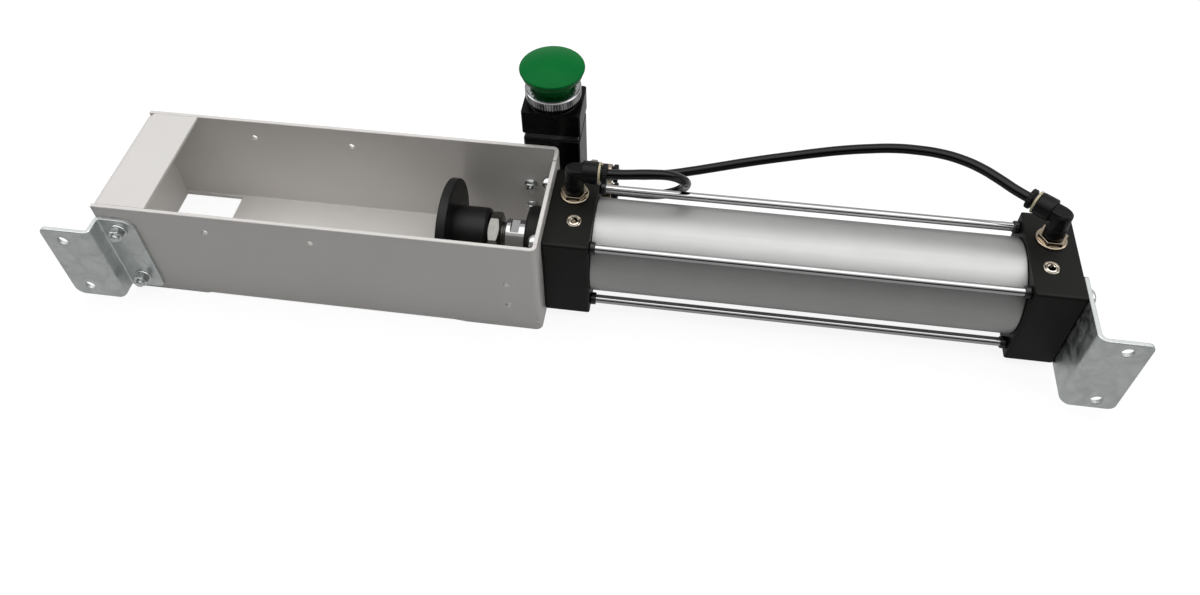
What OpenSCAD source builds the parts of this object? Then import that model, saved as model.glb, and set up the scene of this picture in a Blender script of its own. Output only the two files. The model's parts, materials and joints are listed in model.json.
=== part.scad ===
// Pneumatic can crusher for a wall: a sheet-steel chamber that a can drops into, a tie-rod air
// cylinder that drives a round plunger along it, a palm-button valve and the two air hoses.
// Millimetres, +Z up. The cylinder runs along x, and the wall is behind the wings, at the lowest y.

/* [Chamber] */
// Outer width of the chamber
chamber_w = 84.6; // [82:0.1:100]
// Height of the chamber walls
chamber_h = 75.5; // [72:0.5:90]
// Thickness of the chamber and bracket sheet
sheet_t = 2.5; // [1.5:0.1:3]
// Height of the floor plate above the feet
floor_lift = 1; // [0.6:0.1:2]
// Length of the cover flange over the closed end
cover_l = 33; // [15:1:60]
// Length of the slot in the floor that the crushed can falls through
slot_l = 41.5; // [30:0.5:60]
// Distance from each side of the slot to the outer face of the wall
slot_edge = 4.5; // [4:0.1:8]
// Outer radius of the chamber's bends
corner_r = 4; // [3.5:0.1:6]

/* [Plunger] */
// Diameter of the plunger disc
plunger_d = 64; // [60:0.5:66]
// Thickness of the plunger disc
disc_t = 6; // [4:0.5:10]
// Diameter of the plunger hub
hub_d = 31; // [28:0.5:40]
// Length of the plunger hub
hub_l = 21.3; // [16:0.1:26]
// Space under the plunger disc
plunger_gap = 0.5; // [0.4:0.1:1.5]
// Space left between the plunger and the end wall at full stroke
crush_gap = 4.2; // [3:0.1:12]

/* [Cylinder] */
// Working stroke
stroke_l = 196; // [150:1:220]
// Bore of the barrel
bore_d = 50; // [46:0.5:51]
// Wall of the barrel
barrel_wall = 3.5; // [2.5:0.1:4]
// Side of the square end caps
cap_side = 62; // [60:0.5:66]
// Length of each end cap
cap_l = 27.5; // [25:0.5:34]
// Diameter of the piston rod
rod_d = 20; // [18:0.5:20]
// Diameter of the rod's threaded end
rod_thread_d = 16; // [12:0.5:17]
// Diameter of the tie rods
tie_d = 5.3; // [4.5:0.1:5.6]
// Distance between the tie rods, both ways
tie_pitch = 48; // [47:0.5:50]
// Length of the piston
piston_l = 32; // [28:0.5:40]
// Diameter of the cushion spears
spear_d = 24; // [23:0.5:25]
// Diameter of the front cap's nose
nose_d = 39; // [34:0.5:42]
// Length of the front cap's nose, through the end plate
nose_l = 14.5; // [13:0.5:18]

/* [Valve] */
// Width of the valve body along the chamber
valve_w = 35; // [34:0.5:40]
// Depth of the valve body from the chamber wall
valve_d = 28.6; // [26:0.1:32]
// Height of the valve's supply port
valve_z = 34; // [33:0.5:40]
// Diameter of the palm button
button_d = 39; // [36:0.5:46]
// Travel of the palm button
button_travel = 4; // [3:0.1:4.5]
// Diameter of the knurled ring under the button
bezel_d = 34; // [33:0.1:36]

/* [Hoses and fittings] */
// Outer diameter of the air hose
hose_d = 6; // [5:0.5:6]
// Height of the elbow outlet above the cap
outlet_h = 20; // [19:0.5:24]
// Direction of the rear elbow, from the rod end of the cylinder's axis
rear_elbow_turn = 144; // [120:1:180]

/* [Wall brackets] */
// Distance from the wall to the chamber's front wall
stand_off = 14.3; // [13:0.1:20]
// Height of both brackets
bracket_h = 62; // [60:0.5:66]
// Diameter of the holes for the wall screws
wing_hole_d = 6.6; // [5:0.1:8]
// Distance between the holes of the left wing
left_hole_pitch = 43; // [36:0.5:46]
// Distance between the holes of the right wing
right_hole_pitch = 46.5; // [36:0.5:48]

/* [Hidden] */
$fn = 72;

// Overrun of every cut past the face that it leaves
cut = 1;
// Radial play of pieces that are seated in each other or slide as a fit
fit = 0.05;
// Radial play of pieces that pass each other freely
clear = 0.4;
// Small chamfer of turned edges
edge = 0.5;
// Steps of a screw head's crown, and how square its shoulder is
head_steps = 6;
head_share = 0.6;
// Face diameter of a nut as a share of its width across flats, and slope of its turned corners
nut_face_share = 0.95;
nut_slope = 30;

// Chamber details
// Outer radius of the bend between the end wall and its cover
cover_r = 3.5;
// Relief notch at the back end of the cover bend
notch = 2;
// How far the front wall turns in along the open end
front_return = 5;
// Distance from the tie rods to the seam between the back wall's return and the end plate
back_seam_gap = 5;
// Length of the left and right feet, and the slope beside each
left_foot_l = 51;
left_foot_slope = 2;
right_foot_l = 47.5;
right_foot_slope = 8;
// Small holes through both walls: diameter, distance below the upper edge and distances from
// the closed end
wall_hole_d = 4;
wall_hole_drop = 14.2;
wall_hole_x = [67.8, 133];
floor_z = floor_lift + sheet_t;

// Plunger and rod end
// Chamfer of the plunger disc and of the hub
disc_edge = 0.6;
hub_edge = 1.5;
// Solid length left in front of the hub's threaded hole
hub_floor = 2.3;
// Jam nut: length and width across flats
jam_nut_l = 7.6;
jam_nut_af = 24;
// Thread that shows between the jam nut and the rod's shoulder
thread_show = 3.1;
// Wrench flats: distance from the shoulder, length and width across
flats_gap = 3.1;
flats_l = 5.2;
flats_af = 17;
// Space between the flats and the cap's nose
nose_gap = 5;

disc_x = sheet_t + crush_gap + stroke_l;
hub_x = disc_x + disc_t;
jam_nut_x = hub_x + hub_l;
shoulder_x = jam_nut_x + jam_nut_l + thread_show;
flats_x = shoulder_x + flats_gap;
nose_x = flats_x + flats_l + nose_gap;
chamber_l = nose_x + nose_l;
// Distance from the middle of the chamber to the cylinder's axis
axis_shift = 1.3;
axis_y = chamber_w / 2 + axis_shift;
// Screws of the end plate: diameter and length of their heads
plate_screw_head_d = 10.4;
plate_screw_head_l = 6.2;
axis_z = floor_z + max(plunger_gap + plunger_d / 2, (tie_pitch + plate_screw_head_d) / 2 + clear);
// How far the back wall turns in along the open end
back_return = chamber_w - axis_y - tie_pitch / 2 - back_seam_gap;

// Cylinder details
// Rounding of the cap edges
cap_r = 2;
// How far each cap reaches into the barrel
spigot_l = 6;
// Space beside the piston at full stroke and at rest
front_gap = 5;
rear_gap = 1;
barrel_l = stroke_l + piston_l + 2 * spigot_l + front_gap + rear_gap;
barrel_x = chamber_l + cap_l;
rear_cap_x = barrel_x + barrel_l;
rear_x = rear_cap_x + cap_l;
piston_x = rear_cap_x - spigot_l - rear_gap - piston_l;
cap_top = axis_z + cap_side / 2;
// Air chambers inside the caps: play round the spear, and wall left at the rear
cavity_d = spear_d + 1;
rear_cavity_wall = 11.5;
// Chamfer of the nose
nose_edge = 1.5;
// Rod wiper and bushing: lengths, and walls round the rod
wiper_l = 6;
wiper_wall = 4;
bushing_l = 14;
bushing_wall = 1.5;
wiper_x = nose_x;
bushing_x = wiper_x + wiper_l;
// Ring seals of the caps: thickness, and distance from the end of the spigot
cap_seal_t = 2.5;
cap_seal_gap = 0.8;
// Cushion seals: length and wall
cushion_seal_l = 3;
cushion_seal_wall = 3;
// Collars where the tie rods enter the caps
collar_d = 7.5;
collar_l = 3.5;
// Sleeve nuts in the caps: diameter, length and how far the tie rod is screwed in
sleeve_d = 9.5;
sleeve_l = 10;
sleeve_grip = 4;
// Screws in the sleeve nuts: shank, head and how far they reach into the nut
cap_screw_d = 6;
cap_screw_head_d = 11;
cap_screw_head_l = 3.4;
cap_screw_socket = 4;
cap_screw_reach = 5.5;
// Piston: stub of the rod in it, seal and wear ring lengths, and depth of their grooves
stub_d = 14;
piston_seal_l = 4;
piston_seal_depth = 4;
piston_seal_gap = 4;
piston_seal_x = [piston_x + piston_seal_gap, piston_x + piston_l - piston_seal_gap - piston_seal_l];
wear_ring_l = 8;
wear_ring_depth = 2;
wear_ring_x = piston_x + (piston_l - wear_ring_l) / 2;
// Cushion spears and the nut behind the piston
front_spear_l = 18;
rear_spear_l = 12;
piston_nut_af = 19;
piston_nut_l = 8;
stub_end = 1.5;

// Ports and cushion needles in the top of the caps
port_shift = 10.5;
port_bore_d = 11.5;
port_y = axis_y + port_shift;
needle_y = axis_y - port_shift;
needle_lean = 2.7;
needle_d = 6.6;
needle_l = 12;
needle_tip_d = 4;
needle_tip_l = 6;
needle_socket = 3.5;
needle_collar_d = 8.8;
needle_collar_l = 0.8;
front_port_x = chamber_l + cap_l / 2;
rear_port_x = rear_cap_x + cap_l / 2;
front_needle_x = front_port_x + needle_lean;
rear_needle_x = rear_port_x - needle_lean;

// Elbow and straight fittings
base_flange_d = 17.4;
base_flange_l = 1.5;
fitting_af = 14;
base_hex_l = 3;
base_thread_d = 11.3;
base_thread_l = 8;
elbow_d = 11.6;
elbow_foot_l = 7.5;
elbow_neck_d = 10.6;
elbow_top = 3.3;
elbow_top_edge = 1.5;
elbow_head_d = 13.6;
elbow_head_x = 5.2;
elbow_ring_l = 1.4;
mouth_x = 16;
air_d = 5;
socket_l = 11;
pocket_l = 8;
pocket_d = 10.4;
collet_neck_d = 9.6;
collet_neck_l = 6;
collet_gap = 1;
collet_d = 12;
collet_l = 2.8;
outlet_z = cap_top + outlet_h;
straight_shoulder_d = 11;
straight_shoulder_l = 3.5;
straight_hex_l = 5;
straight_d = 12;
straight_l = 18.3;
straight_thread_d = 9;
straight_thread_l = 7;

// Valve details
// Distance from the open end of the chamber to the middle of the valve
valve_setback = 5.1;
// Distances from the supply port to the ends of the body
valve_below = 27.5;
valve_above = 46;
valve_edge_r = 1.5;
// Distance between the two hose ports, how far below the supply port their middle is, and
// distance between the two exhaust ports
hose_port_pitch = 17;
hose_port_drop = 1;
exhaust_pitch = 39;
// Bolts to the chamber wall
valve_bolt_x = 14.1;
valve_bolt_drop = 1.5;
valve_bolt_pitch = 20;
valve_bolt_d = 4;
valve_bolt_head_d = 7;
valve_bolt_head_l = 4;
valve_bolt_socket = 3;
valve_nut_af = 7;
valve_nut_l = 3.2;
valve_nut_flange_d = 9;
valve_nut_flange_l = 1.3;
valve_bolt_end = 1.5;
// Stacked pieces over and under the body
valve_end_cap_l = 3;
plate_l = 4.5;
plate_inset = 0.8;
head_w = 36;
head_l = 17;
head_floor = 3.5;
head_cavity_d = 22;
boss_d = 30;
boss_l = 4.5;
boss_floor = 1.5;
bezel_l = 6.3;
dress_l = 0.9;
dress_edge = 1;
// Spool and stem
spool_bore_d = 10;
spool_land_d = 9.2;
spool_waist_d = 6;
spool_gap = 1.5;
spool_land_l = 4;
spool_seal_t = 1.8;
spool_seal_count = 6;
stem_d = 8;
stem_thread_d = 5;
stem_thread_l = 8;
stem_collar_d = 18;
stem_collar_l = 2;
// Return spring round the stem
spring_d = 13;
spring_wire = 1.2;
spring_turns = 4;
spring_sides = 6;
spring_steps = 12;
spring_seat_gap = 0.1;
spring_l = 13;
// Button: neck, cone under the rim, rim and dome
neck_d = 25;
neck_in = 4.3;
press_gap = 0.3;
cone_h = 4.1;
cone_d = 36;
rim_d = 38;
rim_h = 4.4;
dome_h = 5;
dome_steps = 8;
dome_share = 0.7;
stem_in_cap = 6;

valve_x = chamber_l - valve_setback;
valve_y = chamber_w + valve_d / 2;
valve_right_x = valve_x + valve_w / 2;
valve_left_x = valve_x - valve_w / 2;
body_z = valve_z - valve_below;
plate_z = valve_z + valve_above;
head_z = plate_z + plate_l;
boss_z = head_z + head_l;
bezel_z = boss_z + boss_l;
dress_z = bezel_z + bezel_l;
neck_z = dress_z - neck_in;
cone_z = dress_z + dress_l + button_travel + press_gap;
rim_z = cone_z + cone_h;
wide_z = rim_z + rim_h;
hose_port_z = [for (s = [-1, 1]) valve_z - hose_port_drop + s * hose_port_pitch / 2];
exhaust_z = [valve_z - exhaust_pitch / 2, valve_z + exhaust_pitch / 2];
bolt_z = [for (s = [-1, 1]) valve_z - valve_bolt_drop + s * valve_bolt_pitch / 2];
spring_z = head_z + head_floor;
stem_collar_z = spring_z + spring_l;
spool_z = body_z + button_travel + spool_gap;
spool_top = plate_z;
spool_step = (spool_top - spool_z - spool_land_l) / (spool_seal_count - 1);
spool_seal_z = [for (i = [0:spool_seal_count - 1]) spool_z + spool_land_l / 2 + i * spool_step];

// Silencers
silencer_af = 10;
silencer_hex_l = 4;
silencer_d = 9;
silencer_l = 14;

// Left bracket: flange on the chamber, wing on the wall, and their corners
left_flange_l = 24.4;
left_flange_top_r = 9;
left_flange_low_r = 4;
left_bend_r = 3.5;
left_wing_l = 29.5;
left_wing_top_r = 4;
left_wing_low_r = 6;
left_hole_x = 17.5;
// Bolts of the left bracket
left_bolt_x = 13.5;
left_bolt_low = 10;
left_bolt_high = 8.5;
left_bolt_d = 5;
left_bolt_head_d = 9.5;
left_bolt_head_l = 3;
left_bolt_socket = 3;
washer_d = 10.4;
washer_t = 1.2;
left_nut_af = 8;
left_nut_l = 4.4;
left_bolt_end = 2.2;
// Right bracket: leg on the rear cap, wing on the wall, and their corners
right_leg_margin = 10.4;
right_bend_r = 5.5;
right_wing_l = 29;
right_corner_r = 4;
right_hole_x = 17.1;

bracket_z = axis_z - bracket_h / 2;
// The upper bolt of the left bracket stays clear of the cover
left_bolt_z = [bracket_z + left_bolt_low, min(bracket_z + bracket_h - left_bolt_high,
    chamber_h - sheet_t - clear - left_bolt_head_d / 2)];
// The leg of the right bracket reaches past its screws
right_leg_y = axis_y - tie_pitch / 2 + right_leg_margin;

// Middle of the whole outline, which goes to the origin
mid_x = (rear_x + right_wing_l - left_wing_l) / 2;
mid_y = (valve_y + button_d / 2 - stand_off) / 2;

// Hose routes. The first and last points lie on the fittings' axes, and the rest are chosen by hand
rear_out = [cos(rear_elbow_turn), sin(rear_elbow_turn), 0];
front_start = [front_port_x, port_y, outlet_z];
rear_start = [rear_port_x, port_y, outlet_z];
stop_x = mouth_x - socket_l;
collet_out = collet_gap + collet_l;
straight_stop_x = valve_right_x + straight_l - socket_l;
straight_end_x = valve_right_x + straight_l + collet_out;
front_route = concat(
    [for (d = [stop_x, mouth_x + collet_out]) front_start + d * [1, 0, 0]],
    [[309, 54.4, 87.1], [316, 54.9, 87.5], [323, 55.7, 87.8], [330, 57, 87.2], [336, 59, 85.5],
        [341, 61.8, 81.8], [344.8, 65, 76.8], [347, 68.8, 71], [347.6, 73.4, 64], [346, 76.8, 57.5],
        [342.3, 79.8, 51], [337, 82.7, 45], [331, 86.2, 39.2], [324.5, 90.5, 33.6],
        [317.5, 95, 28.6], [310, 98.1, 25.5]],
    [for (x = [straight_end_x, straight_stop_x]) [x, valve_y, hose_port_z[0]]]);
rear_route = concat(
    [for (d = [stop_x, mouth_x + collet_out]) rear_start + d * rear_out],
    [[533, 71, 87], [525, 78.5, 87], [516, 86.5, 86.6], [506, 93.3, 85.6], [495, 99, 83.6],
        [483, 103.8, 80.4], [470, 107, 77.2], [455, 108.6, 73.4], [440, 109.2, 69.6],
        [425, 109.2, 65.4], [410, 108.8, 61.1], [395, 107.9, 57.2], [380, 106.8, 53.1],
        [365, 105, 49.4], [350, 102.8, 46.2], [335, 100.6, 43.6], [320, 99.2, 42],
        [311, 98.9, 41.6]],
    [for (x = [straight_end_x, straight_stop_x]) [x, valve_y, hose_port_z[1]]]);
hose_sides = 10;

function unit(v) = v / norm(v);
function tangents(p) = [for (i = [0:len(p) - 1]) unit(p[min(i + 1, len(p) - 1)] - p[max(i - 1, 0)])];
function square_to(n, t) = unit(n - (n * t) * t);
function normals(t, n, i = 0) = i == len(t) ? [] :
    let (m = square_to(n, t[i])) concat([m], normals(t, m, i + 1));

// A solid tube along the points p, with its first ring's corner towards start
module sweep(p, d, sides, start) {
    t = tangents(p);
    n = normals(t, start);
    last = len(p) - 1;
    rings = [for (i = [0:last]) for (k = [0:sides - 1]) let (a = 360 * k / sides)
        p[i] + d / 2 * (cos(a) * n[i] + sin(a) * cross(t[i], n[i]))];
    walls = [for (i = [0:last - 1]) for (k = [0:sides - 1])
        let (a = i * sides + k, b = i * sides + (k + 1) % sides)
        each [[a, a + sides, b + sides], [a, b + sides, b]]];
    ends = [for (k = [1:sides - 2]) each [[0, k, k + 1],
        [last * sides, last * sides + k + 1, last * sides + k]]];
    polyhedron(points = rings, faces = concat(walls, ends));
}

// Moves a piece from the chamber's own corner to the part's origin
module placed() {
    translate([-mid_x, -mid_y, 0]) children();
}

module slab(a, b) {
    translate(a) cube(b - a);
}

module bar_x(x0, x1, d, y = axis_y, z = axis_z) {
    translate([x0, y, z]) rotate([0, 90, 0]) cylinder(d = d, h = x1 - x0);
}

module bar_y(y0, y1, d, x, z) {
    translate([x, y0, z]) rotate([-90, 0, 0]) cylinder(d = d, h = y1 - y0);
}

module bar_z(z0, z1, d, x, y) {
    translate([x, y, z0]) cylinder(d = d, h = z1 - z0);
}

// Puts a turned piece on the cylinder's axis, or on a line beside it
module along_x(x, y = axis_y, z = axis_z) {
    translate([x, y, z]) rotate([0, 90, 0]) children();
}

module along_back_x(x, y = axis_y, z = axis_z) {
    translate([x, y, z]) rotate([0, -90, 0]) children();
}

module along_back_y(y, x, z) {
    translate([x, y, z]) rotate([90, 0, 0]) children();
}

module pin(d, l, c = edge) {
    rotate_extrude() polygon([[0, 0], [d / 2 - c, 0], [d / 2, c], [d / 2, l - c], [d / 2 - c, l],
        [0, l]]);
}

module sleeve(d, hole, l, c = edge) {
    rotate_extrude() polygon([[hole / 2, 0], [d / 2 - c, 0], [d / 2, c], [d / 2, l - c],
        [d / 2 - c, l], [hole / 2, l]]);
}

// A ring of round section that just clears a bore of diameter d
module o_ring(d, t) {
    rotate_extrude() translate([d / 2 - fit - t / 2, 0]) circle(d = t);
}

module hex_bar(af, l) {
    cylinder(d = af / cos(30), h = l, $fn = 6);
}

// A hexagon with its corners turned off at both ends
module turned_hex(af, l) {
    face = nut_face_share * af / 2;
    reach = af / 2 / cos(30) + cut;
    depth = (reach - face) * tan(nut_slope);
    intersection() {
        hex_bar(af, l);
        rotate_extrude() polygon([[0, 0], [face, 0], [reach, depth], [reach, l - depth], [face, l],
            [0, l]]);
    }
}

module hex_nut(af, l, hole) {
    difference() {
        turned_hex(af, l);
        translate([0, 0, -cut]) cylinder(d = hole, h = l + 2 * cut);
    }
}

module screw_head(d, l, socket) {
    crown = [for (i = [0:head_steps]) let (a = 90 * i / head_steps)
        [d / 2 * pow(cos(a), head_share), l * sin(a)]];
    difference() {
        rotate_extrude() polygon(concat([[0, 0]], crown));
        translate([0, 0, l / 2]) hex_bar(socket, l);
    }
}

module rounded_rect(w, h, r) {
    translate([r, 0]) square([w - 2 * r, h]);
    translate([0, r]) square([w, h - 2 * r]);
    for (x = [r, w - r], y = [r, h - r]) translate([x, y]) circle(r);
}

// What a corner of radius r loses, with the corner at zero and the plate at +x +y
module corner_waste(r) {
    difference() {
        translate([-cut, -cut]) square(r + cut);
        translate([r, r]) circle(r);
    }
}

// A plate of w by h, with radii for its low left, low right, top right and top left corners
module plate(w, h, r) {
    difference() {
        square([w, h]);
        corner_waste(r[0]);
        translate([w, 0]) mirror([1, 0]) corner_waste(r[1]);
        translate([w, h]) rotate(180) corner_waste(r[2]);
        translate([0, h]) mirror([0, 1]) corner_waste(r[3]);
    }
}

// A quarter of a bent sheet, in the corner at +x +y of its axis
module bend(r, h) {
    intersection() {
        difference() {
            cylinder(r = r, h = h);
            translate([0, 0, -cut]) cylinder(r = r - sheet_t, h = h + 2 * cut);
        }
        cube([r + cut, r + cut, h]);
    }
}

module at_tie_rods() {
    for (y = [-1, 1], z = [-1, 1])
        translate([0, axis_y + y * tie_pitch / 2, axis_z + z * tie_pitch / 2]) children();
}

// The walls and the floor, one folded and welded sheet
module chamber_trough() {
    color("gainsboro") placed() difference() {
        union() {
            slab([sheet_t, sheet_t / 2, floor_lift],
                [chamber_l - sheet_t, chamber_w - sheet_t / 2, floor_z]);
            slab([0, 0, 0], [chamber_l - corner_r, sheet_t, chamber_h]);
            slab([0, chamber_w - sheet_t, 0], [chamber_l - corner_r, chamber_w, chamber_h]);
            translate([chamber_l - corner_r, chamber_w - corner_r, 0]) bend(corner_r, chamber_h);
            translate([chamber_l - corner_r, corner_r, 0]) mirror([0, 1, 0])
                bend(corner_r, chamber_h);
            slab([chamber_l - sheet_t, chamber_w - back_return, 0],
                [chamber_l, chamber_w - corner_r, chamber_h]);
            slab([chamber_l - sheet_t, corner_r, 0], [chamber_l, front_return, chamber_h]);
        }
        slab([0, slot_edge, 0], [sheet_t + slot_l, chamber_w - slot_edge, floor_z + cut]);
        translate([0, chamber_w + cut, 0]) rotate([90, 0, 0]) linear_extrude(chamber_w + 2 * cut)
            polygon([[left_foot_l, -cut], [left_foot_l, 0],
                [left_foot_l + left_foot_slope, floor_lift],
                [chamber_l - right_foot_l - right_foot_slope, floor_lift],
                [chamber_l - right_foot_l, 0], [chamber_l - right_foot_l, -cut]]);
        for (x = wall_hole_x)
            bar_y(-cut, chamber_w + cut, wall_hole_d, x, chamber_h - wall_hole_drop);
        for (z = bolt_z)
            bar_y(-cut, chamber_w + cut, valve_bolt_d + 2 * fit, valve_x - valve_bolt_x, z);
        for (z = left_bolt_z) bar_y(-cut, sheet_t + cut, left_bolt_d + 2 * fit, left_bolt_x, z);
    }
}

// The end wall, folded over into a short cover
module end_cover() {
    color("gainsboro") placed() difference() {
        union() {
            slab([0, sheet_t, 0], [sheet_t, chamber_w - sheet_t, chamber_h - cover_r]);
            slab([cover_r, sheet_t, chamber_h - sheet_t], [cover_l, chamber_w - sheet_t, chamber_h]);
            translate([cover_r, chamber_w - sheet_t, chamber_h - cover_r]) mirror([1, 0, 0])
                rotate([90, 0, 0]) bend(cover_r, chamber_w - 2 * sheet_t);
        }
        slab([-cut, chamber_w - sheet_t - notch, chamber_h - cover_r],
            [cover_r, chamber_w, chamber_h + cut]);
    }
}

// The plate that the cylinder is screwed to
module end_plate() {
    color("gainsboro") placed() difference() {
        slab([chamber_l - sheet_t, front_return, 0],
            [chamber_l, chamber_w - back_return, chamber_h]);
        bar_x(nose_x, chamber_l + cut, nose_d + 2 * fit);
        at_tie_rods() bar_x(nose_x, chamber_l + cut, cap_screw_d + 2 * fit, 0, 0);
    }
}

module end_plate_screws() {
    color("silver") placed() at_tie_rods() union() {
        along_back_x(chamber_l - sheet_t, 0, 0)
            screw_head(plate_screw_head_d, plate_screw_head_l, cap_screw_socket);
        bar_x(chamber_l - sheet_t, chamber_l + cap_screw_reach, cap_screw_d, 0, 0);
    }
}

// The left bracket: a flange on the chamber, a web and a wing on the wall
module left_bracket() {
    color("silver") placed() difference() {
        union() {
            translate([left_bend_r, 0, bracket_z]) rotate([90, 0, 0]) linear_extrude(sheet_t)
                plate(left_flange_l - left_bend_r, bracket_h,
                    [0, left_flange_low_r, left_flange_top_r, 0]);
            translate([left_bend_r, -left_bend_r, bracket_z]) mirror([1, 0, 0])
                bend(left_bend_r, bracket_h);
            slab([0, left_bend_r - stand_off, bracket_z],
                [sheet_t, -left_bend_r, bracket_z + bracket_h]);
            translate([sheet_t - left_bend_r, left_bend_r - stand_off, bracket_z])
                mirror([0, 1, 0]) bend(left_bend_r, bracket_h);
            translate([-left_wing_l, sheet_t - stand_off, bracket_z]) rotate([90, 0, 0])
                linear_extrude(sheet_t) plate(left_wing_l + sheet_t - left_bend_r, bracket_h,
                    [left_wing_low_r, 0, 0, left_wing_top_r]);
        }
        for (z = left_bolt_z) bar_y(-sheet_t - cut, cut, left_bolt_d + 2 * fit, left_bolt_x, z);
        for (s = [-1, 1])
            bar_y(-stand_off - cut, sheet_t + cut - stand_off, wing_hole_d, -left_hole_x,
                axis_z + s * left_hole_pitch / 2);
    }
}

module at_left_bolts(y) {
    for (z = left_bolt_z) along_back_y(y, left_bolt_x, z) children();
}

module left_bracket_bolts() {
    shank_l = 2 * sheet_t + washer_t + left_nut_l + left_bolt_end;
    color("silver") placed() {
        at_left_bolts(sheet_t) union() {
            pin(left_bolt_d, shank_l);
            mirror([0, 0, 1]) screw_head(left_bolt_head_d, left_bolt_head_l, left_bolt_socket);
        }
    }
}

module left_bracket_washers() {
    color("silver") placed() at_left_bolts(-sheet_t)
        sleeve(washer_d, left_bolt_d + 2 * fit, washer_t, edge / 2);
}

module left_bracket_nuts() {
    color("silver") placed() at_left_bolts(-sheet_t - washer_t)
        hex_nut(left_nut_af, left_nut_l, left_bolt_d + 2 * fit);
}

// The right bracket: a leg on the rear cap and a wing on the wall
module right_bracket() {
    color("silver") placed() difference() {
        union() {
            translate([rear_x, right_bend_r - stand_off, bracket_z]) rotate([90, 0, 90])
                linear_extrude(sheet_t) plate(right_leg_y + stand_off - right_bend_r, bracket_h,
                    [0, cap_r, cap_r, 0]);
            translate([rear_x + right_bend_r, right_bend_r - stand_off, bracket_z])
                rotate([0, 0, 180]) bend(right_bend_r, bracket_h);
            translate([rear_x + right_bend_r, sheet_t - stand_off, bracket_z]) rotate([90, 0, 0])
                linear_extrude(sheet_t) plate(right_wing_l - right_bend_r, bracket_h,
                    [0, right_corner_r, right_corner_r, 0]);
        }
        for (s = [-1, 1]) {
            bar_y(-stand_off - cut, sheet_t + cut - stand_off, wing_hole_d, rear_x + right_hole_x,
                axis_z + s * right_hole_pitch / 2);
            bar_x(rear_x - cut, rear_x + sheet_t + cut, cap_screw_d + 2 * fit,
                axis_y - tie_pitch / 2, axis_z + s * tie_pitch / 2);
        }
    }
}

module right_bracket_screws() {
    color("silver") placed() for (s = [-1, 1])
        translate([0, axis_y - tie_pitch / 2, axis_z + s * tie_pitch / 2]) union() {
            along_x(rear_x + sheet_t, 0, 0)
                screw_head(cap_screw_head_d, cap_screw_head_l, cap_screw_socket);
            bar_x(rear_x - cap_screw_reach, rear_x + sheet_t, cap_screw_d, 0, 0);
        }
}

module cap_block(x) {
    y = axis_y - cap_side / 2;
    z = axis_z - cap_side / 2;
    intersection() {
        translate([x, y, z]) rotate([90, 0, 90]) linear_extrude(cap_l)
            rounded_rect(cap_side, cap_side, cap_r);
        translate([x, y, z]) linear_extrude(cap_side) rounded_rect(cap_l, cap_side, cap_r);
    }
}

// Everything that both caps have bored into them, with the outer face at x and the spigot
// towards +x when side is 1 and towards -x when side is -1
module cap_bores(x, side, port_x, needle_x) {
    spigot_end = x + side * (cap_l + spigot_l);
    face = x + side * sleeve_l;
    at_tie_rods() {
        bar_x(x - cap_l - cut, x + cap_l + cut, tie_d + 2 * fit, 0, 0);
        bar_x(min(x - side * cut, face), max(x - side * cut, face), sleeve_d + 2 * fit, 0, 0);
    }
    bar_z(axis_z, cap_top + cut, port_bore_d, port_x, port_y);
    bar_z(axis_z, cap_top + cut, needle_tip_d + 2 * fit, needle_x, needle_y);
    bar_z(cap_top - needle_l, cap_top + cut, needle_d + 2 * fit, needle_x, needle_y);
    bar_z(cap_top - needle_collar_l, cap_top + cut, needle_collar_d + 2 * fit, needle_x, needle_y);
    seal_x = spigot_end - side * (cap_seal_gap + cap_seal_t / 2);
    along_x(seal_x - cap_seal_t / 2 - fit) difference() {
        cylinder(d = bore_d + 2 * cut, h = cap_seal_t + 2 * fit);
        translate([0, 0, -cut])
            cylinder(d = bore_d - 2 * cap_seal_t - 4 * fit, h = cap_seal_t + 2 * cut);
    }
    recess = spigot_end - side * cushion_seal_l;
    bar_x(min(recess, spigot_end + side * cut), max(recess, spigot_end + side * cut),
        spear_d + 2 * cushion_seal_wall + 2 * fit);
}

module front_cap() {
    color([0.12, 0.12, 0.13]) placed() difference() {
        union() {
            cap_block(chamber_l);
            along_x(nose_x) rotate_extrude() polygon([[0, 0], [nose_d / 2 - nose_edge, 0],
                [nose_d / 2, nose_edge], [nose_d / 2, nose_l + cut], [0, nose_l + cut]]);
            bar_x(barrel_x - cut, barrel_x + spigot_l, bore_d - 2 * fit);
        }
        bar_x(wiper_x - cut, bushing_x, rod_d + 2 * wiper_wall + 2 * fit);
        bar_x(bushing_x - cut, bushing_x + bushing_l + cut, rod_d + 2 * bushing_wall + 2 * fit);
        bar_x(bushing_x + bushing_l, barrel_x + spigot_l + cut, cavity_d);
        cap_bores(chamber_l, 1, front_port_x, front_needle_x);
    }
}

module rear_cap() {
    color([0.12, 0.12, 0.13]) placed() difference() {
        union() {
            cap_block(rear_cap_x);
            bar_x(rear_cap_x - spigot_l, rear_cap_x + cut, bore_d - 2 * fit);
        }
        bar_x(rear_cap_x - spigot_l - cut, rear_x - rear_cavity_wall, cavity_d);
        cap_bores(rear_x, -1, rear_port_x, rear_needle_x);
    }
}

module barrel() {
    color([0.75, 0.75, 0.74]) placed() difference() {
        bar_x(barrel_x, rear_cap_x, bore_d + 2 * barrel_wall);
        bar_x(barrel_x - cut, rear_cap_x + cut, bore_d);
    }
}

module barrel_seals() {
    gap = spigot_l - cap_seal_gap - cap_seal_t / 2;
    color("black") placed() for (x = [barrel_x + gap, rear_cap_x - gap])
        along_x(x) o_ring(bore_d, cap_seal_t);
}

module tie_rods() {
    color("lightgray") placed() at_tie_rods()
        bar_x(chamber_l + sleeve_l - sleeve_grip, rear_x - sleeve_l + sleeve_grip, tie_d, 0, 0);
}

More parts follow.
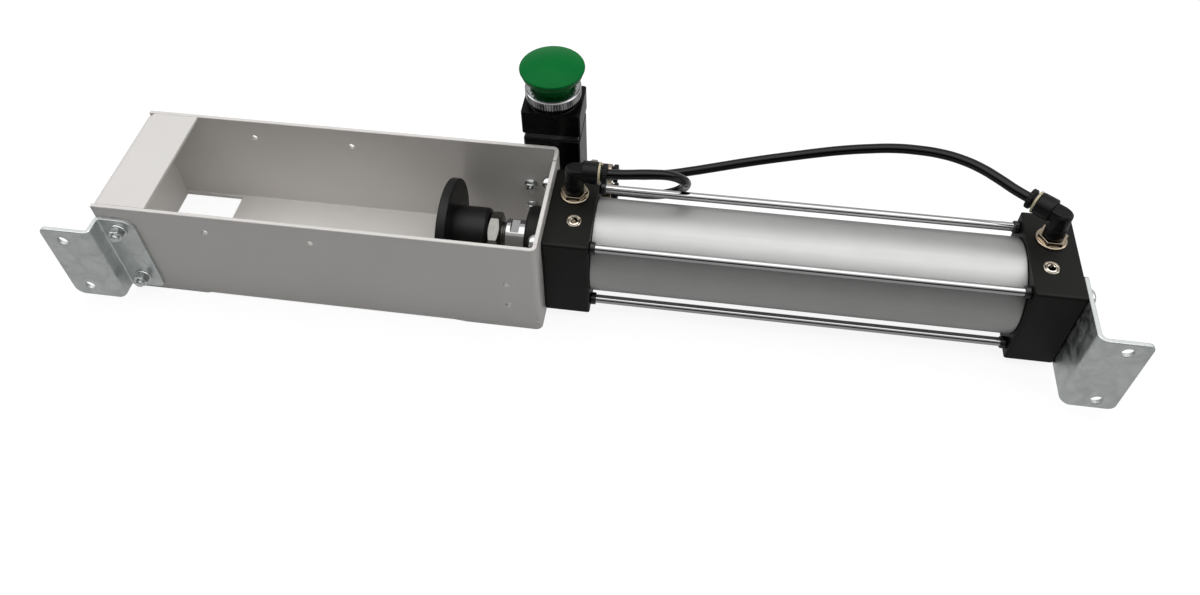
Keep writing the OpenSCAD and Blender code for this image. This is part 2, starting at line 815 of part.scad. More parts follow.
module tie_rod_collars() {
    color([0.1, 0.1, 0.1]) placed() at_tie_rods() for (x = [barrel_x, rear_cap_x - collar_l])
        along_x(x, 0, 0) sleeve(collar_d, tie_d + 2 * fit, collar_l);
}

module sleeve_nut() {
    difference() {
        pin(sleeve_d, sleeve_l);
        translate([0, 0, -cut]) cylinder(d = cap_screw_d + 2 * fit, h = sleeve_l - sleeve_grip + cut);
        cylinder(d = tie_d + 2 * fit, h = sleeve_l + cut);
    }
}

module tie_rod_nuts() {
    color("gray") placed() at_tie_rods() {
        along_x(chamber_l, 0, 0) sleeve_nut();
        along_back_x(rear_x, 0, 0) sleeve_nut();
    }
}

module rod_bushing() {
    color([0.7, 0.55, 0.3]) placed() along_x(bushing_x)
        sleeve(rod_d + 2 * bushing_wall, rod_d + 2 * fit, bushing_l);
}

module rod_wiper() {
    color("black") placed() along_x(wiper_x)
        sleeve(rod_d + 2 * wiper_wall, rod_d + 2 * fit, wiper_l);
}

module cushion_seals() {
    color("black") placed()
        for (x = [barrel_x + spigot_l - cushion_seal_l, rear_cap_x - spigot_l])
            along_x(x) sleeve(spear_d + 2 * cushion_seal_wall, spear_d + 2 * fit, cushion_seal_l);
}

module needle_collars() {
    color("silver") placed() for (x = [front_needle_x, rear_needle_x])
        translate([x, needle_y, cap_top - needle_collar_l])
            sleeve(needle_collar_d, needle_d + 2 * fit, needle_collar_l, edge / 2);
}

module needle(x) {
    translate([x, needle_y, cap_top]) mirror([0, 0, 1]) difference() {
        union() {
            pin(needle_d, needle_l);
            translate([0, 0, needle_l - cut]) pin(needle_tip_d, needle_tip_l + cut, edge);
        }
        translate([0, 0, -cut]) hex_bar(needle_socket, needle_l / 2);
    }
}

module front_needle() {
    color("silver") placed() needle(front_needle_x);
}

module rear_needle() {
    color("silver") placed() needle(rear_needle_x);
}

module elbow_base(x) {
    translate([x, port_y, cap_top]) difference() {
        union() {
            translate([0, 0, -base_thread_l]) cylinder(d = base_thread_d, h = base_thread_l + cut);
            pin(base_flange_d, base_flange_l);
            translate([0, 0, base_flange_l]) hex_bar(fitting_af, base_hex_l);
        }
        translate([0, 0, -base_thread_l - cut])
            cylinder(d = air_d, h = base_thread_l + base_flange_l + base_hex_l + 2 * cut);
    }
}

module elbow_bases() {
    color([0.72, 0.66, 0.55]) placed() for (x = [front_port_x, rear_port_x]) elbow_base(x);
}

// A turned elbow whose outlet points along turn
module elbow(x, turn) {
    foot = base_flange_l + base_hex_l;
    top = outlet_h + elbow_top;
    translate([x, port_y, cap_top]) rotate([0, 0, turn]) difference() {
        union() {
            translate([0, 0, foot]) pin(elbow_d, elbow_foot_l);
            translate([0, 0, foot]) pin(elbow_neck_d, top - foot, elbow_top_edge);
            intersection() {
                along_x(0, 0, outlet_h) cylinder(d = elbow_neck_d, h = elbow_head_x + cut);
                slab([0, -elbow_d, foot], [elbow_head_x + cut, elbow_d, top]);
            }
            along_x(elbow_head_x, 0, outlet_h)
                pin(elbow_head_d, mouth_x - elbow_ring_l - elbow_head_x);
        }
        translate([0, 0, foot - cut]) cylinder(d = air_d, h = outlet_h - foot + cut);
        bar_x(0, mouth_x, air_d, 0, outlet_h);
        bar_x(stop_x, mouth_x, hose_d + 2 * clear, 0, outlet_h);
        bar_x(mouth_x - pocket_l, mouth_x, pocket_d, 0, outlet_h);
    }
}

module front_elbow() {
    color([0.1, 0.1, 0.1]) placed() elbow(front_port_x, 0);
}

module rear_elbow() {
    color([0.1, 0.1, 0.1]) placed() elbow(rear_port_x, rear_elbow_turn);
}

// Puts a piece on an outlet, with zero at the mouth
module at_front_mouth() {
    translate(front_start) along_x(mouth_x, 0, 0) children();
}

module at_rear_mouth() {
    translate(rear_start) rotate([0, 0, rear_elbow_turn]) along_x(mouth_x, 0, 0) children();
}

module elbow_rings() {
    color("beige") placed() {
        at_front_mouth() mirror([0, 0, 1]) sleeve(elbow_head_d, pocket_d, elbow_ring_l, edge / 2);
        at_rear_mouth() mirror([0, 0, 1]) sleeve(elbow_head_d, pocket_d, elbow_ring_l, edge / 2);
    }
}

// The release sleeve of a push-in fitting, with zero at the fitting's mouth
module collet() {
    difference() {
        union() {
            translate([0, 0, -collet_neck_l])
                cylinder(d = collet_neck_d, h = collet_neck_l + collet_gap + cut);
            translate([0, 0, collet_gap]) pin(collet_d, collet_l);
        }
        translate([0, 0, -collet_neck_l - cut])
            cylinder(d = hose_d + 2 * clear, h = collet_neck_l + collet_out + 2 * cut);
    }
}

module front_collet() {
    color([0.1, 0.1, 0.1]) placed() at_front_mouth() collet();
}

module rear_collet() {
    color([0.1, 0.1, 0.1]) placed() at_rear_mouth() collet();
}

module upper_valve_collet() {
    color([0.1, 0.1, 0.1]) placed()
        along_x(valve_right_x + straight_l, valve_y, hose_port_z[1]) collet();
}

module lower_valve_collet() {
    color([0.1, 0.1, 0.1]) placed()
        along_x(valve_right_x + straight_l, valve_y, hose_port_z[0]) collet();
}

module inlet_collet() {
    color([0.1, 0.1, 0.1]) placed()
        along_back_x(valve_left_x - straight_l, valve_y, valve_z) collet();
}

// A straight push-in fitting, with zero on the face that it is screwed to
module straight_fitting() {
    difference() {
        union() {
            translate([0, 0, -straight_thread_l])
                cylinder(d = straight_thread_d, h = straight_thread_l + cut);
            pin(straight_shoulder_d, straight_shoulder_l + cut);
            translate([0, 0, straight_shoulder_l]) turned_hex(fitting_af, straight_hex_l);
            translate([0, 0, straight_shoulder_l + straight_hex_l - cut])
                pin(straight_d, straight_l - straight_shoulder_l - straight_hex_l + cut);
        }
        translate([0, 0, -straight_thread_l - cut])
            cylinder(d = air_d, h = straight_thread_l + straight_l + 2 * cut);
        translate([0, 0, straight_l - socket_l])
            cylinder(d = hose_d + 2 * clear, h = socket_l + cut);
        translate([0, 0, straight_l - pocket_l]) cylinder(d = pocket_d, h = pocket_l + cut);
    }
}

module valve_fittings() {
    color([0.72, 0.66, 0.55]) placed() for (z = hose_port_z)
        along_x(valve_right_x, valve_y, z) straight_fitting();
}

module inlet_fitting() {
    color([0.72, 0.66, 0.55]) placed()
        along_back_x(valve_left_x, valve_y, valve_z) straight_fitting();
}

module silencers() {
    color([0.7, 0.55, 0.3]) placed() for (z = exhaust_z)
        along_back_x(valve_left_x, valve_y, z) union() {
            translate([0, 0, -straight_thread_l])
                cylinder(d = straight_thread_d, h = straight_thread_l + cut);
            hex_bar(silencer_af, silencer_hex_l);
            translate([0, 0, silencer_hex_l - cut]) pin(silencer_d, silencer_l + cut);
        }
}

module valve_body() {
    port_d = straight_thread_d + 2 * fit;
    color([0.14, 0.14, 0.15]) placed() difference() {
        translate([valve_left_x, chamber_w, body_z]) linear_extrude(plate_z - body_z)
            rounded_rect(valve_w, valve_d, valve_edge_r);
        bar_z(body_z - cut, plate_z + cut, spool_bore_d, valve_x, valve_y);
        for (z = hose_port_z) {
            bar_x(valve_x, valve_right_x + cut, air_d, valve_y, z);
            bar_x(valve_right_x - straight_thread_l, valve_right_x + cut, port_d, valve_y, z);
        }
        for (z = concat(exhaust_z, [valve_z])) {
            bar_x(valve_left_x - cut, valve_x, air_d, valve_y, z);
            bar_x(valve_left_x - cut, valve_left_x + straight_thread_l, port_d, valve_y, z);
        }
        for (z = bolt_z)
            bar_y(chamber_w - cut, chamber_w + valve_d + cut, valve_bolt_d + 2 * fit,
                valve_x - valve_bolt_x, z);
    }
}

module valve_end_cap() {
    color([0.25, 0.25, 0.27]) placed() translate([valve_left_x, chamber_w, body_z - valve_end_cap_l])
        linear_extrude(valve_end_cap_l) rounded_rect(valve_w, valve_d, valve_edge_r);
}

module valve_plate() {
    color([0.45, 0.45, 0.46]) placed() difference() {
        translate([valve_left_x + plate_inset, chamber_w + plate_inset, plate_z])
            linear_extrude(plate_l) rounded_rect(valve_w - 2 * plate_inset,
                valve_d - 2 * plate_inset, valve_edge_r);
        bar_z(plate_z - cut, head_z + cut, stem_d + 2 * clear, valve_x, valve_y);
    }
}

// The actuator head, with the round boss that the button ring sits on
module valve_head() {
    color([0.1, 0.1, 0.1]) placed() difference() {
        union() {
            translate([valve_x - head_w / 2, chamber_w, head_z]) linear_extrude(head_l)
                rounded_rect(head_w, valve_d, valve_edge_r);
            bar_z(boss_z - cut, bezel_z, boss_d, valve_x, valve_y);
        }
        bar_z(head_z - cut, bezel_z + cut, stem_d + 2 * fit, valve_x, valve_y);
        bar_z(spring_z, bezel_z + cut, head_cavity_d, valve_x, valve_y);
        bar_z(boss_z + boss_floor, bezel_z + cut, neck_d + 2 * clear, valve_x, valve_y);
    }
}

module bezel_ring() {
    color("silver") placed() translate([valve_x, valve_y, bezel_z])
        sleeve(bezel_d, neck_d + 2 * clear, bezel_l, edge);
}

module dress_ring() {
    outer = bezel_d / 2 - dress_edge;
    inner = neck_d / 2 + clear;
    color("lightgray") placed() translate([valve_x, valve_y, dress_z]) rotate_extrude()
        polygon([[inner, 0], [outer, 0], [inner + edge, dress_l], [inner, dress_l]]);
}

module valve_bolts() {
    shank_l = valve_d + sheet_t + valve_nut_l + valve_nut_flange_l + valve_bolt_end;
    color("silver") placed() for (z = bolt_z)
        along_back_y(chamber_w + valve_d, valve_x - valve_bolt_x, z) union() {
            pin(valve_bolt_d, shank_l);
            mirror([0, 0, 1]) difference() {
                pin(valve_bolt_head_d, valve_bolt_head_l);
                translate([0, 0, valve_bolt_head_l / 2]) hex_bar(valve_bolt_socket, valve_bolt_head_l);
            }
        }
}

module valve_nuts() {
    hole = valve_bolt_d + 2 * fit;
    color("silver") placed() for (z = bolt_z)
        along_back_y(chamber_w - sheet_t, valve_x - valve_bolt_x, z) union() {
            sleeve(valve_nut_flange_d, hole, valve_nut_flange_l, edge / 2);
            translate([0, 0, valve_nut_flange_l]) hex_nut(valve_nut_af, valve_nut_l, hole);
        }
}

function spring_point(t) = [
    valve_x + spring_d / 2 * cos(360 * t), valve_y + spring_d / 2 * sin(360 * t),
    spring_z + spring_seat_gap + spring_wire / 2
        + (spring_l - 2 * spring_seat_gap - spring_wire) * t / spring_turns];
spring_path = [for (i = [0:spring_turns * spring_steps]) spring_point(i / spring_steps)];
spring_gaps = [for (i = [0:len(spring_path) - 1 - spring_steps])
    norm(spring_path[i + spring_steps] - spring_path[i]) - spring_wire];
echo(spring_gap = min(spring_gaps));

module return_spring() {
    color("silver") placed() sweep(spring_path, spring_wire, spring_sides, [0, 0, 1]);
}

module tube_front() {
    color([0.06, 0.06, 0.07]) placed() sweep(front_route, hose_d, hose_sides, [0, 1, 0]);
}

module tube_rear() {
    color([0.06, 0.06, 0.07]) placed() sweep(rear_route, hose_d, hose_sides, [0, 0, 1]);
}

// The rod: threaded end, wrench flats, polished length and the stub through the piston
module piston_rod() {
    thread_x = hub_x + hub_floor + edge;
    stub_x = piston_x + piston_l + rear_spear_l + piston_nut_l + stub_end;
    color("lightgray") placed() difference() {
        union() {
            along_x(thread_x) pin(rod_thread_d, shoulder_x - thread_x + cut);
            along_x(shoulder_x) pin(rod_d, piston_x - shoulder_x);
            along_x(piston_x - cut) pin(stub_d, stub_x - piston_x + cut);
        }
        along_x(flats_x) for (a = [0, 180]) rotate(a) translate([flats_af / 2, -rod_d, 0])
            cube([rod_d, 2 * rod_d, flats_l]);
    }
}

module piston() {
    body_d = bore_d - 2 * clear;
    color("silver") placed() difference() {
        along_x(piston_x) sleeve(body_d, stub_d + 2 * fit, piston_l);
        for (x = piston_seal_x) along_x(x) difference() {
            cylinder(d = body_d + 2 * cut, h = piston_seal_l);
            cylinder(d = bore_d - 2 * piston_seal_depth - 4 * fit, h = piston_seal_l);
        }
        along_x(wear_ring_x) difference() {
            cylinder(d = body_d + 2 * cut, h = wear_ring_l);
            cylinder(d = bore_d - 2 * wear_ring_depth - 4 * fit, h = wear_ring_l);
        }
    }
}

module piston_seals() {
    color("black") placed() for (x = piston_seal_x)
        along_x(x) sleeve(bore_d - 2 * fit, bore_d - 2 * piston_seal_depth - 2 * fit, piston_seal_l);
}

module wear_ring() {
    color("tan") placed() along_x(wear_ring_x)
        sleeve(bore_d - 2 * fit, bore_d - 2 * wear_ring_depth - 2 * fit, wear_ring_l, edge / 2);
}

module front_spear() {
    color("silver") placed() along_x(piston_x - front_spear_l)
        sleeve(spear_d, rod_d + 2 * fit, front_spear_l);
}

module rear_spear() {
    color("silver") placed() along_x(piston_x + piston_l)
        sleeve(spear_d, stub_d + 2 * fit, rear_spear_l);
}

module piston_nut() {
    color("silver") placed() along_x(piston_x + piston_l + rear_spear_l)
        hex_nut(piston_nut_af, piston_nut_l, stub_d + 2 * fit);
}

module jam_nut() {
    color("silver") placed() along_x(jam_nut_x) hex_nut(jam_nut_af, jam_nut_l, rod_thread_d + 2 * fit);
}

module plunger() {
    color([0.09, 0.09, 0.09]) placed() difference() {
        union() {
            along_x(disc_x) pin(plunger_d, disc_t, disc_edge);
            along_x(hub_x - cut) pin(hub_d, hub_l + cut, hub_edge);
        }
        bar_x(hub_x + hub_floor, jam_nut_x + cut, rod_thread_d + 2 * fit);
    }
}

// The button: neck, cone, rim and a crowned top
module button_cap() {
    low = [[0, neck_z], [neck_d / 2, neck_z], [neck_d / 2, cone_z], [cone_d / 2, rim_z],
        [rim_d / 2, rim_z + rim_h / 3]];
    crown = [for (i = [0:dome_steps]) let (a = 90 * i / dome_steps)
        [button_d / 2 * pow(cos(a), dome_share), wide_z + dome_h * sin(a)]];
    color([0.0, 0.42, 0.18]) placed() translate([valve_x, valve_y, 0]) difference() {
        rotate_extrude() polygon(concat(low, crown));
        bar_z(neck_z - cut, neck_z + stem_in_cap, stem_d + 2 * fit, 0, 0);
    }
}

module button_stem() {
    color("silver") placed() translate([valve_x, valve_y, 0]) union() {
        bar_z(spool_top - stem_thread_l, spool_top + cut, stem_thread_d, 0, 0);
        translate([0, 0, spool_top]) pin(stem_d, neck_z + stem_in_cap - fit - spool_top);
        translate([0, 0, stem_collar_z]) pin(stem_collar_d, stem_collar_l);
    }
}

// The spool, with a land at each of its seals
module spool() {
    groove_d = spool_bore_d - 2 * spool_seal_t - 4 * fit;
    color([0.6, 0.6, 0.62]) placed() translate([valve_x, valve_y, 0]) difference() {
        union() {
            bar_z(spool_z, spool_top, spool_waist_d, 0, 0);
            for (z = spool_seal_z) translate([0, 0, z - spool_land_l / 2])
                cylinder(d = spool_land_d, h = spool_land_l);
        }
        for (z = spool_seal_z) translate([0, 0, z - spool_seal_t / 2 - fit]) difference() {
            cylinder(d = spool_bore_d, h = spool_seal_t + 2 * fit);
            cylinder(d = groove_d, h = spool_seal_t + 2 * fit);
        }
        bar_z(spool_top - stem_thread_l, spool_top + cut, stem_thread_d + 2 * fit, 0, 0);
    }
}

module spool_seals() {
    color("black") placed() for (z = spool_seal_z)
        translate([valve_x, valve_y, z]) o_ring(spool_bore_d, spool_seal_t);
}

chamber_trough();
end_cover();
end_plate();
end_plate_screws();
left_bracket();
left_bracket_bolts();
left_bracket_washers();
left_bracket_nuts();
right_bracket();
right_bracket_screws();
front_cap();
rear_cap();
barrel();
barrel_seals();
tie_rods();
tie_rod_collars();
tie_rod_nuts();
rod_bushing();
rod_wiper();
cushion_seals();
needle_collars();
elbow_bases();
front_elbow();
rear_elbow();
elbow_rings();
valve_body();
valve_end_cap();
valve_plate();
valve_head();
bezel_ring();
dress_ring();
valve_bolts();
valve_nuts();
valve_fittings();
inlet_fitting();
silencers();
return_spring();
tube_front();
tube_rear();
piston_rod();
piston();
piston_seals();
wear_ring();
front_spear();
rear_spear();
piston_nut();
jam_nut();
plunger();
button_cap();
button_stem();
spool();
spool_seals();
front_needle();
rear_needle();
front_collet();
rear_collet();
upper_valve_collet();
lower_valve_collet();
inlet_collet();
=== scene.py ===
"""A pneumatic can crusher for a wall: the finishes of its pieces, its threads and its hoses."""
import json
import math

import bmesh
import bpy
from mathutils import Matrix, Vector

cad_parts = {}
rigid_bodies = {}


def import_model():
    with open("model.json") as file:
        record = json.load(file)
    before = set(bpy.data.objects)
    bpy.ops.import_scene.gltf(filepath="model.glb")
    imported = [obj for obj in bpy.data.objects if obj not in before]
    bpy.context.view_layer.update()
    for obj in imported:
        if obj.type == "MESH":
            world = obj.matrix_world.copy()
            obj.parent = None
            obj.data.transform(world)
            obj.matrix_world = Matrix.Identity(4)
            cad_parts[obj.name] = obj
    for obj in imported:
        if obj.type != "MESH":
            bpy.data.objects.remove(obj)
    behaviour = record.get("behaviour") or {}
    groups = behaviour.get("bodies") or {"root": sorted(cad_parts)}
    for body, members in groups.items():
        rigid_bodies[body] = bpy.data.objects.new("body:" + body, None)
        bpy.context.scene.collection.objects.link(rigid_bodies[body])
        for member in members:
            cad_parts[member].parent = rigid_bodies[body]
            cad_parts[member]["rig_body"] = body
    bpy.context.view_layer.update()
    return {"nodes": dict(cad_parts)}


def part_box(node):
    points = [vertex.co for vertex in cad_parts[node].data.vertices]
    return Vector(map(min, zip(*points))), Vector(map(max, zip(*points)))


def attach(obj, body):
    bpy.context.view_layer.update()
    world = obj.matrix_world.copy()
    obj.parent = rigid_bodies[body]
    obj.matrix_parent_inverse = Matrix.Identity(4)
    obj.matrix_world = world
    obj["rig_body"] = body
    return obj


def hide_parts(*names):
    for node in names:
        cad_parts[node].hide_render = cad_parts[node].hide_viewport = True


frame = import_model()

bl_info = {
    "name": "Pneumatic Can Crusher",
    "version": (1, 0, 0),
    "blender": (4, 5, 0),
    "location": "View3D > Sidebar > Crusher",
    "description": "Builds the visible pieces of an air-driven can crusher, with their finishes",
    "category": "Object",
}

MM = 0.001

# Vertices closer than this are one vertex, and faces flatter than this are one face
WELD = 0.002 * MM
FLAT = math.radians(0.4)
# Edges sharper than this get a bevel and stay a crease
CREASE = math.radians(30)
# Heights of the weld dots, and their distance from the chamber's open end
WELD_DOT_HEIGHTS = (8.2 * MM, 13.4 * MM)
WELD_DOT_INSET = 2 * MM
# A bolt's cut thread starts this far inside its nut
THREAD_START = 0.2 * MM
# Steps round each turned piece, more where the outline shows
DOT_STEPS = 24
BOLT_STEPS = 40
TIE_ROD_STEPS = 48
ROD_STEPS = 64
BUTTON_STEPS = 128
BARREL_STEPS = 160
# Steps from one grip of a release collar to the next, and from one flute of the ring to the next
GRIP_STEPS = 4
FLUTE_STEPS = 3
COLLAR_STEPS = 24 * GRIP_STEPS
# How strongly, and how often, a moulded piece's corners are smoothed
MOULD_SOFTENING = 0.5
MOULD_ROUNDS = 8
# Fineness of a hose's round, and of its line from one point of the route to the next
HOSE_STEPS = 10

SENSOR_WIDTH = 36
# Name, place and size of each lamp, in metres
LAMPS = (("overhead", (0, 0.25, 1.2), (2.4, 1.5)), ("right", (1.15, 0.15, 0.7), (0.7, 0.7)))
FLOOR_WIDTH = 12
FLOOR_DEPTH = 0.05 * MM
# The floor's card shows the camera its own light, mixed in this share with its lit tone, so that
# the sum is white and a shadow is a little darker
CARD_TONE = "#D2D2D2"
CARD_LIGHT = 1.2
CARD_SHARE = 0.75
# Light that comes from all round, for all but gloss
ROOM_LIGHT = 0.04
# In gloss, the walls turn into the softbox between these heights (Z) of a direction, and the
# dark side in front turns into the walls between these depths (Y)
SOFTBOX_FADE = (0.82, 0.97)
FRONT_FADE = (-0.92, -0.62)

# Points that the hoses follow, from the cylinder's elbow to the valve's fitting
FRONT_ROUTE = [
    (2.75, 2.05, 87), (17.55, 2.05, 87), (24.5, 2.35, 87.1), (31.5, 2.85, 87.5), (38.5, 3.65, 87.8),
    (45.5, 4.95, 87.2), (51.5, 6.95, 85.5), (56.5, 9.75, 81.8), (60.3, 12.95, 76.8),
    (62.5, 16.75, 71), (63.1, 21.35, 64), (61.5, 24.75, 57.5), (57.8, 27.75, 51), (52.5, 30.65, 45),
    (46.5, 34.15, 39.2), (40, 38.45, 33.6), (33, 42.95, 28.6), (25.5, 46.05, 25.5),
    (18.5, 46.85, 24.5), (3.7, 46.85, 24.5)]
REAR_ROUTE = [
    (267.205, 4.9889, 87), (255.231, 13.6881, 87), (248.5, 18.95, 87), (240.5, 26.45, 87),
    (231.5, 34.45, 86.6), (221.5, 41.25, 85.6), (210.5, 46.95, 83.6), (198.5, 51.75, 80.4),
    (185.5, 54.95, 77.2), (170.5, 56.55, 73.4), (155.5, 57.15, 69.6), (140.5, 57.15, 65.4),
    (125.5, 56.75, 61.1), (110.5, 55.85, 57.2), (95.5, 54.75, 53.1), (80.5, 52.95, 49.4),
    (65.5, 50.75, 46.2), (50.5, 48.55, 43.6), (35.5, 47.15, 42), (26.5, 46.85, 41.6),
    (18.5, 46.85, 41.5), (3.7, 46.85, 41.5)]


def colour(code):
    """The linear colour that an sRGB hex value stands for."""
    shares = [int(code[i:i + 2], 16) / 255 for i in (1, 3, 5)]
    return [s / 12.92 if s <= 0.04045 else ((s + 0.055) / 1.055) ** 2.4 for s in shares] + [1]


def length(name, description, millimetres):
    """A length that the user can change."""
    return bpy.props.FloatProperty(
        name=name, description=description, default=millimetres * MM, min=0, unit="LENGTH")


def tint(name, description, code):
    """A colour that the user can change."""
    return bpy.props.FloatVectorProperty(
        name=name, description=description, default=colour(code), size=4, min=0, max=1,
        subtype="COLOR")


class CrusherSizes(bpy.types.PropertyGroup):
    """Sizes of the details that the finish adds."""
    sheet_edge: length("Sheet edge", "Rounding that paint leaves on a cut edge", 0.45)
    block_edge: length("Block edge", "Broken edge of the milled caps and the valve", 0.5)
    moulded_grain: length("Moulded grain", "Size of the cells that elbows are smoothed with", 0.3)
    small_edge: length("Small edge", "Broken edge of nuts, screws and fittings", 0.2)
    barrel_edge: length("Barrel edge", "Chamfer at the ends of the barrel", 0.5)
    thread_pitch: length("Rod thread pitch", "Pitch of the thread on the piston rod", 1.5)
    thread_show: length("Rod thread shown", "Thread between the jam nut and the rod", 3.1)
    rod_thread: length("Rod thread", "Diameter of the thread on the piston rod", 16)
    tie_rod: length("Tie rod", "Diameter of the tie rods", 5.3)
    bolt_pitch: length("Bolt pitch", "Pitch of the thread on the bolt ends", 0.8)
    bracket_bolt: length("Bracket bolt", "Diameter of the left bracket's bolts", 5)
    valve_bolt: length("Valve bolt", "Diameter of the valve's bolts", 4)
    needle_edge: length("Cushion screw edge", "Rounding of cushion screws and their collars", 0.5)
    seam: length("Seam", "Gap between the end plate and the wall's return", 0.5)
    weld_dot: length("Weld dot", "Width of the two weld dots on the front wall", 1.6)
    flute_depth: length("Flute depth", "Depth of the knurling on the button ring", 0.35)
    ring_bore: length("Ring bore", "Bore of the ring under the button", 25.8)
    ring_edge: length("Ring edge", "Broken edges of the ring under the button", 0.6)
    grip_depth: length("Grip depth", "Depth of the grips on the release collars", 0.2)
    collar_hole: length("Collar hole", "Hole through a release collar, for the hose", 6.4)
    collar_neck: length("Collar neck", "Diameter of a release collar inside its fitting", 9.6)
    collar_flange: length("Collar flange", "Diameter of a release collar's flange", 12)
    collar_flange_start: length("Collar flange start", "Length of a release collar's neck", 7)
    collar_length: length("Collar length", "Whole length of a release collar", 9.8)
    collar_edge: length("Collar edge", "Rounding of a release collar's flange", 0.4)
    button_neck: length("Button neck", "Diameter of the button's neck inside the ring", 25)
    cone_start: length("Cone start", "Height at which the button's underside widens", 9.5)
    cone_end: length("Cone end", "Height at which the button's underside is widest", 13.6)
    button_rim: length("Button rim", "Rounding of the button's rim", 0.9)
    button_lip: length("Button lip", "Height of the button's rim over its foot", 18.2)
    hose_width: length("Hose diameter", "Outer diameter of both hoses", 6)
    flutes: bpy.props.IntProperty(
        name="Flutes", description="Number of flutes round the button ring", default=72, min=12)
    rear_turn: bpy.props.FloatProperty(
        name="Rear elbow turn", description="Direction of the rear elbow, from the rod end's axis",
        default=math.radians(144), unit="ROTATION")


class CrusherColours(bpy.types.PropertyGroup):
    """Colours of the finishes."""
    paint: tint("Paint", "Warm light grey powder coat", "#E2DFDC")
    paint_deep: tint("Paint, thicker", "The coat where it lies thicker", "#D9D6D2")
    zinc: tint("Zinc", "Bright zinc plate", "#DEE1E0")
    zinc_dull: tint("Zinc, dull", "Clouds in the zinc plate", "#BDC2C1")
    barrel: tint("Barrel", "Clear anodised aluminium", "#B4B4B3")
    chrome: tint("Chrome", "Hard chrome", "#B9B8B8")
    black_caps: tint("Caps", "Black anodised aluminium", "#121210")
    black_valve: tint("Valve", "Black valve housing", "#0B0B0B")
    grey_plate: tint("Valve plate", "Dark grey plate under the valve's head", "#3A3A3A")
    black_plastic: tint("Black plastic", "Glass-filled plastic of the elbows", "#121213")
    plunger: tint("Plunger", "Black turned plastic", "#111111")
    hose: tint("Hose", "Black hose", "#040405")
    nickel: tint("Nickel", "Nickel plated brass", "#B3A592")
    cream: tint("Elbow ring", "Cream ring in the mouth of an elbow", "#C2B899")
    button: tint("Button", "Green button", "#006B2E")


class CrusherStage(bpy.types.PropertyGroup):
    """Camera and lamps."""
    camera_place: bpy.props.FloatVectorProperty(
        name="Camera place", description="Where the camera stands", subtype="TRANSLATION",
        default=(0.07181, -0.40289, 0.50866), unit="LENGTH")
    camera_turn: bpy.props.FloatVectorProperty(
        name="Camera turn", description="How the camera is turned", subtype="EULER",
        default=[math.radians(a) for a in (41.8845, 1.4337, 8.7002)], unit="ROTATION")
    lens: bpy.props.FloatProperty(
        name="Lens", description="Focal length on a 36 mm sensor",
        default=30.193, min=1, unit="CAMERA")
    shift: bpy.props.FloatVectorProperty(
        name="Shift", description="Lens shift, in shares of the picture's width", size=2,
        default=(0.01976, -0.07022))
    key_power: bpy.props.FloatProperty(
        name="Overhead lamp", description="Power of the large softbox overhead",
        default=24, min=0, unit="POWER")
    side_power: bpy.props.FloatProperty(
        name="Side lamp", description="Power of the softbox at the right",
        default=1, min=0, unit="POWER")
    wall_gloss: bpy.props.FloatProperty(
        name="Walls in gloss", description="Light that gloss shows from the studio's walls",
        default=0.75, min=0, max=1)
    softbox_gloss: bpy.props.FloatProperty(
        name="Softbox in gloss", description="Light that gloss shows from the softbox overhead",
        default=2.5, min=0, max=5)
    front_gloss: bpy.props.FloatProperty(
        name="Front in gloss", description="Light that gloss shows from the studio's dark side",
        default=0.04, min=0, max=1)
    floor_gloss: bpy.props.FloatProperty(
        name="Floor in gloss", description="Light that gloss shows from the pale floor",
        default=0.5, min=0, max=1)


def clear_selection():
    """Leaves edit mode, and selects nothing."""
    if bpy.context.mode != "OBJECT":
        bpy.ops.object.mode_set(mode="OBJECT")
    bpy.ops.object.select_all(action="DESELECT")


def pick(*objects):
    """Selects these objects alone, the first one active."""
    clear_selection()
    for obj in objects:
        obj.select_set(True)
    bpy.context.view_layer.objects.active = objects[0]


def edit(obj):
    """Opens an object alone in edit mode, to select its vertices."""
    pick(obj)
    bpy.ops.object.mode_set(mode="EDIT")
    bpy.ops.mesh.select_mode(type="VERT")


def select_vertices(obj, wanted):
    """Selects the vertices that wanted says yes to, in edit mode."""
    bpy.ops.mesh.select_all(action="DESELECT")
    mesh = bmesh.from_edit_mesh(obj.data)
    for vertex in mesh.verts:
        vertex.select = wanted(vertex.co)
    mesh.select_flush_mode()
    bmesh.update_edit_mesh(obj.data)


def add(tree, kind, settings, sockets):
    """Adds a node with its settings, and gives its sockets a value or a link each."""
    node = tree.nodes.new(kind)
    for key, value in settings.items():
        setattr(node, key, value)
    for key, value in sockets.items():
        if isinstance(value, bpy.types.NodeSocket):
            tree.links.new(value, node.inputs[key])
        else:
            node.inputs[key].default_value = value
    return node


def new_material(name, **sockets):
    """Returns a material with these sockets set, its node tree, shader and coordinates."""
    material = bpy.data.materials.new(name)
    material.use_nodes = True
    tree = material.node_tree
    shader = tree.nodes["Principled BSDF"]
    for key, value in sockets.items():
        shader.inputs[key.replace("_", " ")].default_value = value
    place = add(tree, "ShaderNodeTexCoord", {}, {}).outputs["Object"]
    return material, tree, shader, place


def grain(tree, shader, place, size, depth, strength=0.3, detail=2.0):
    """Gives a surface a fine relief of that grain size and depth, in metres."""
    noise = add(tree, "ShaderNodeTexNoise", {}, {
        "Vector": place, "Scale": 1 / size, "Detail": detail})
    bump = add(tree, "ShaderNodeBump", {}, {
        "Height": noise.outputs["Fac"], "Distance": depth, "Strength": strength})
    tree.links.new(bump.outputs["Normal"], shader.inputs["Normal"])


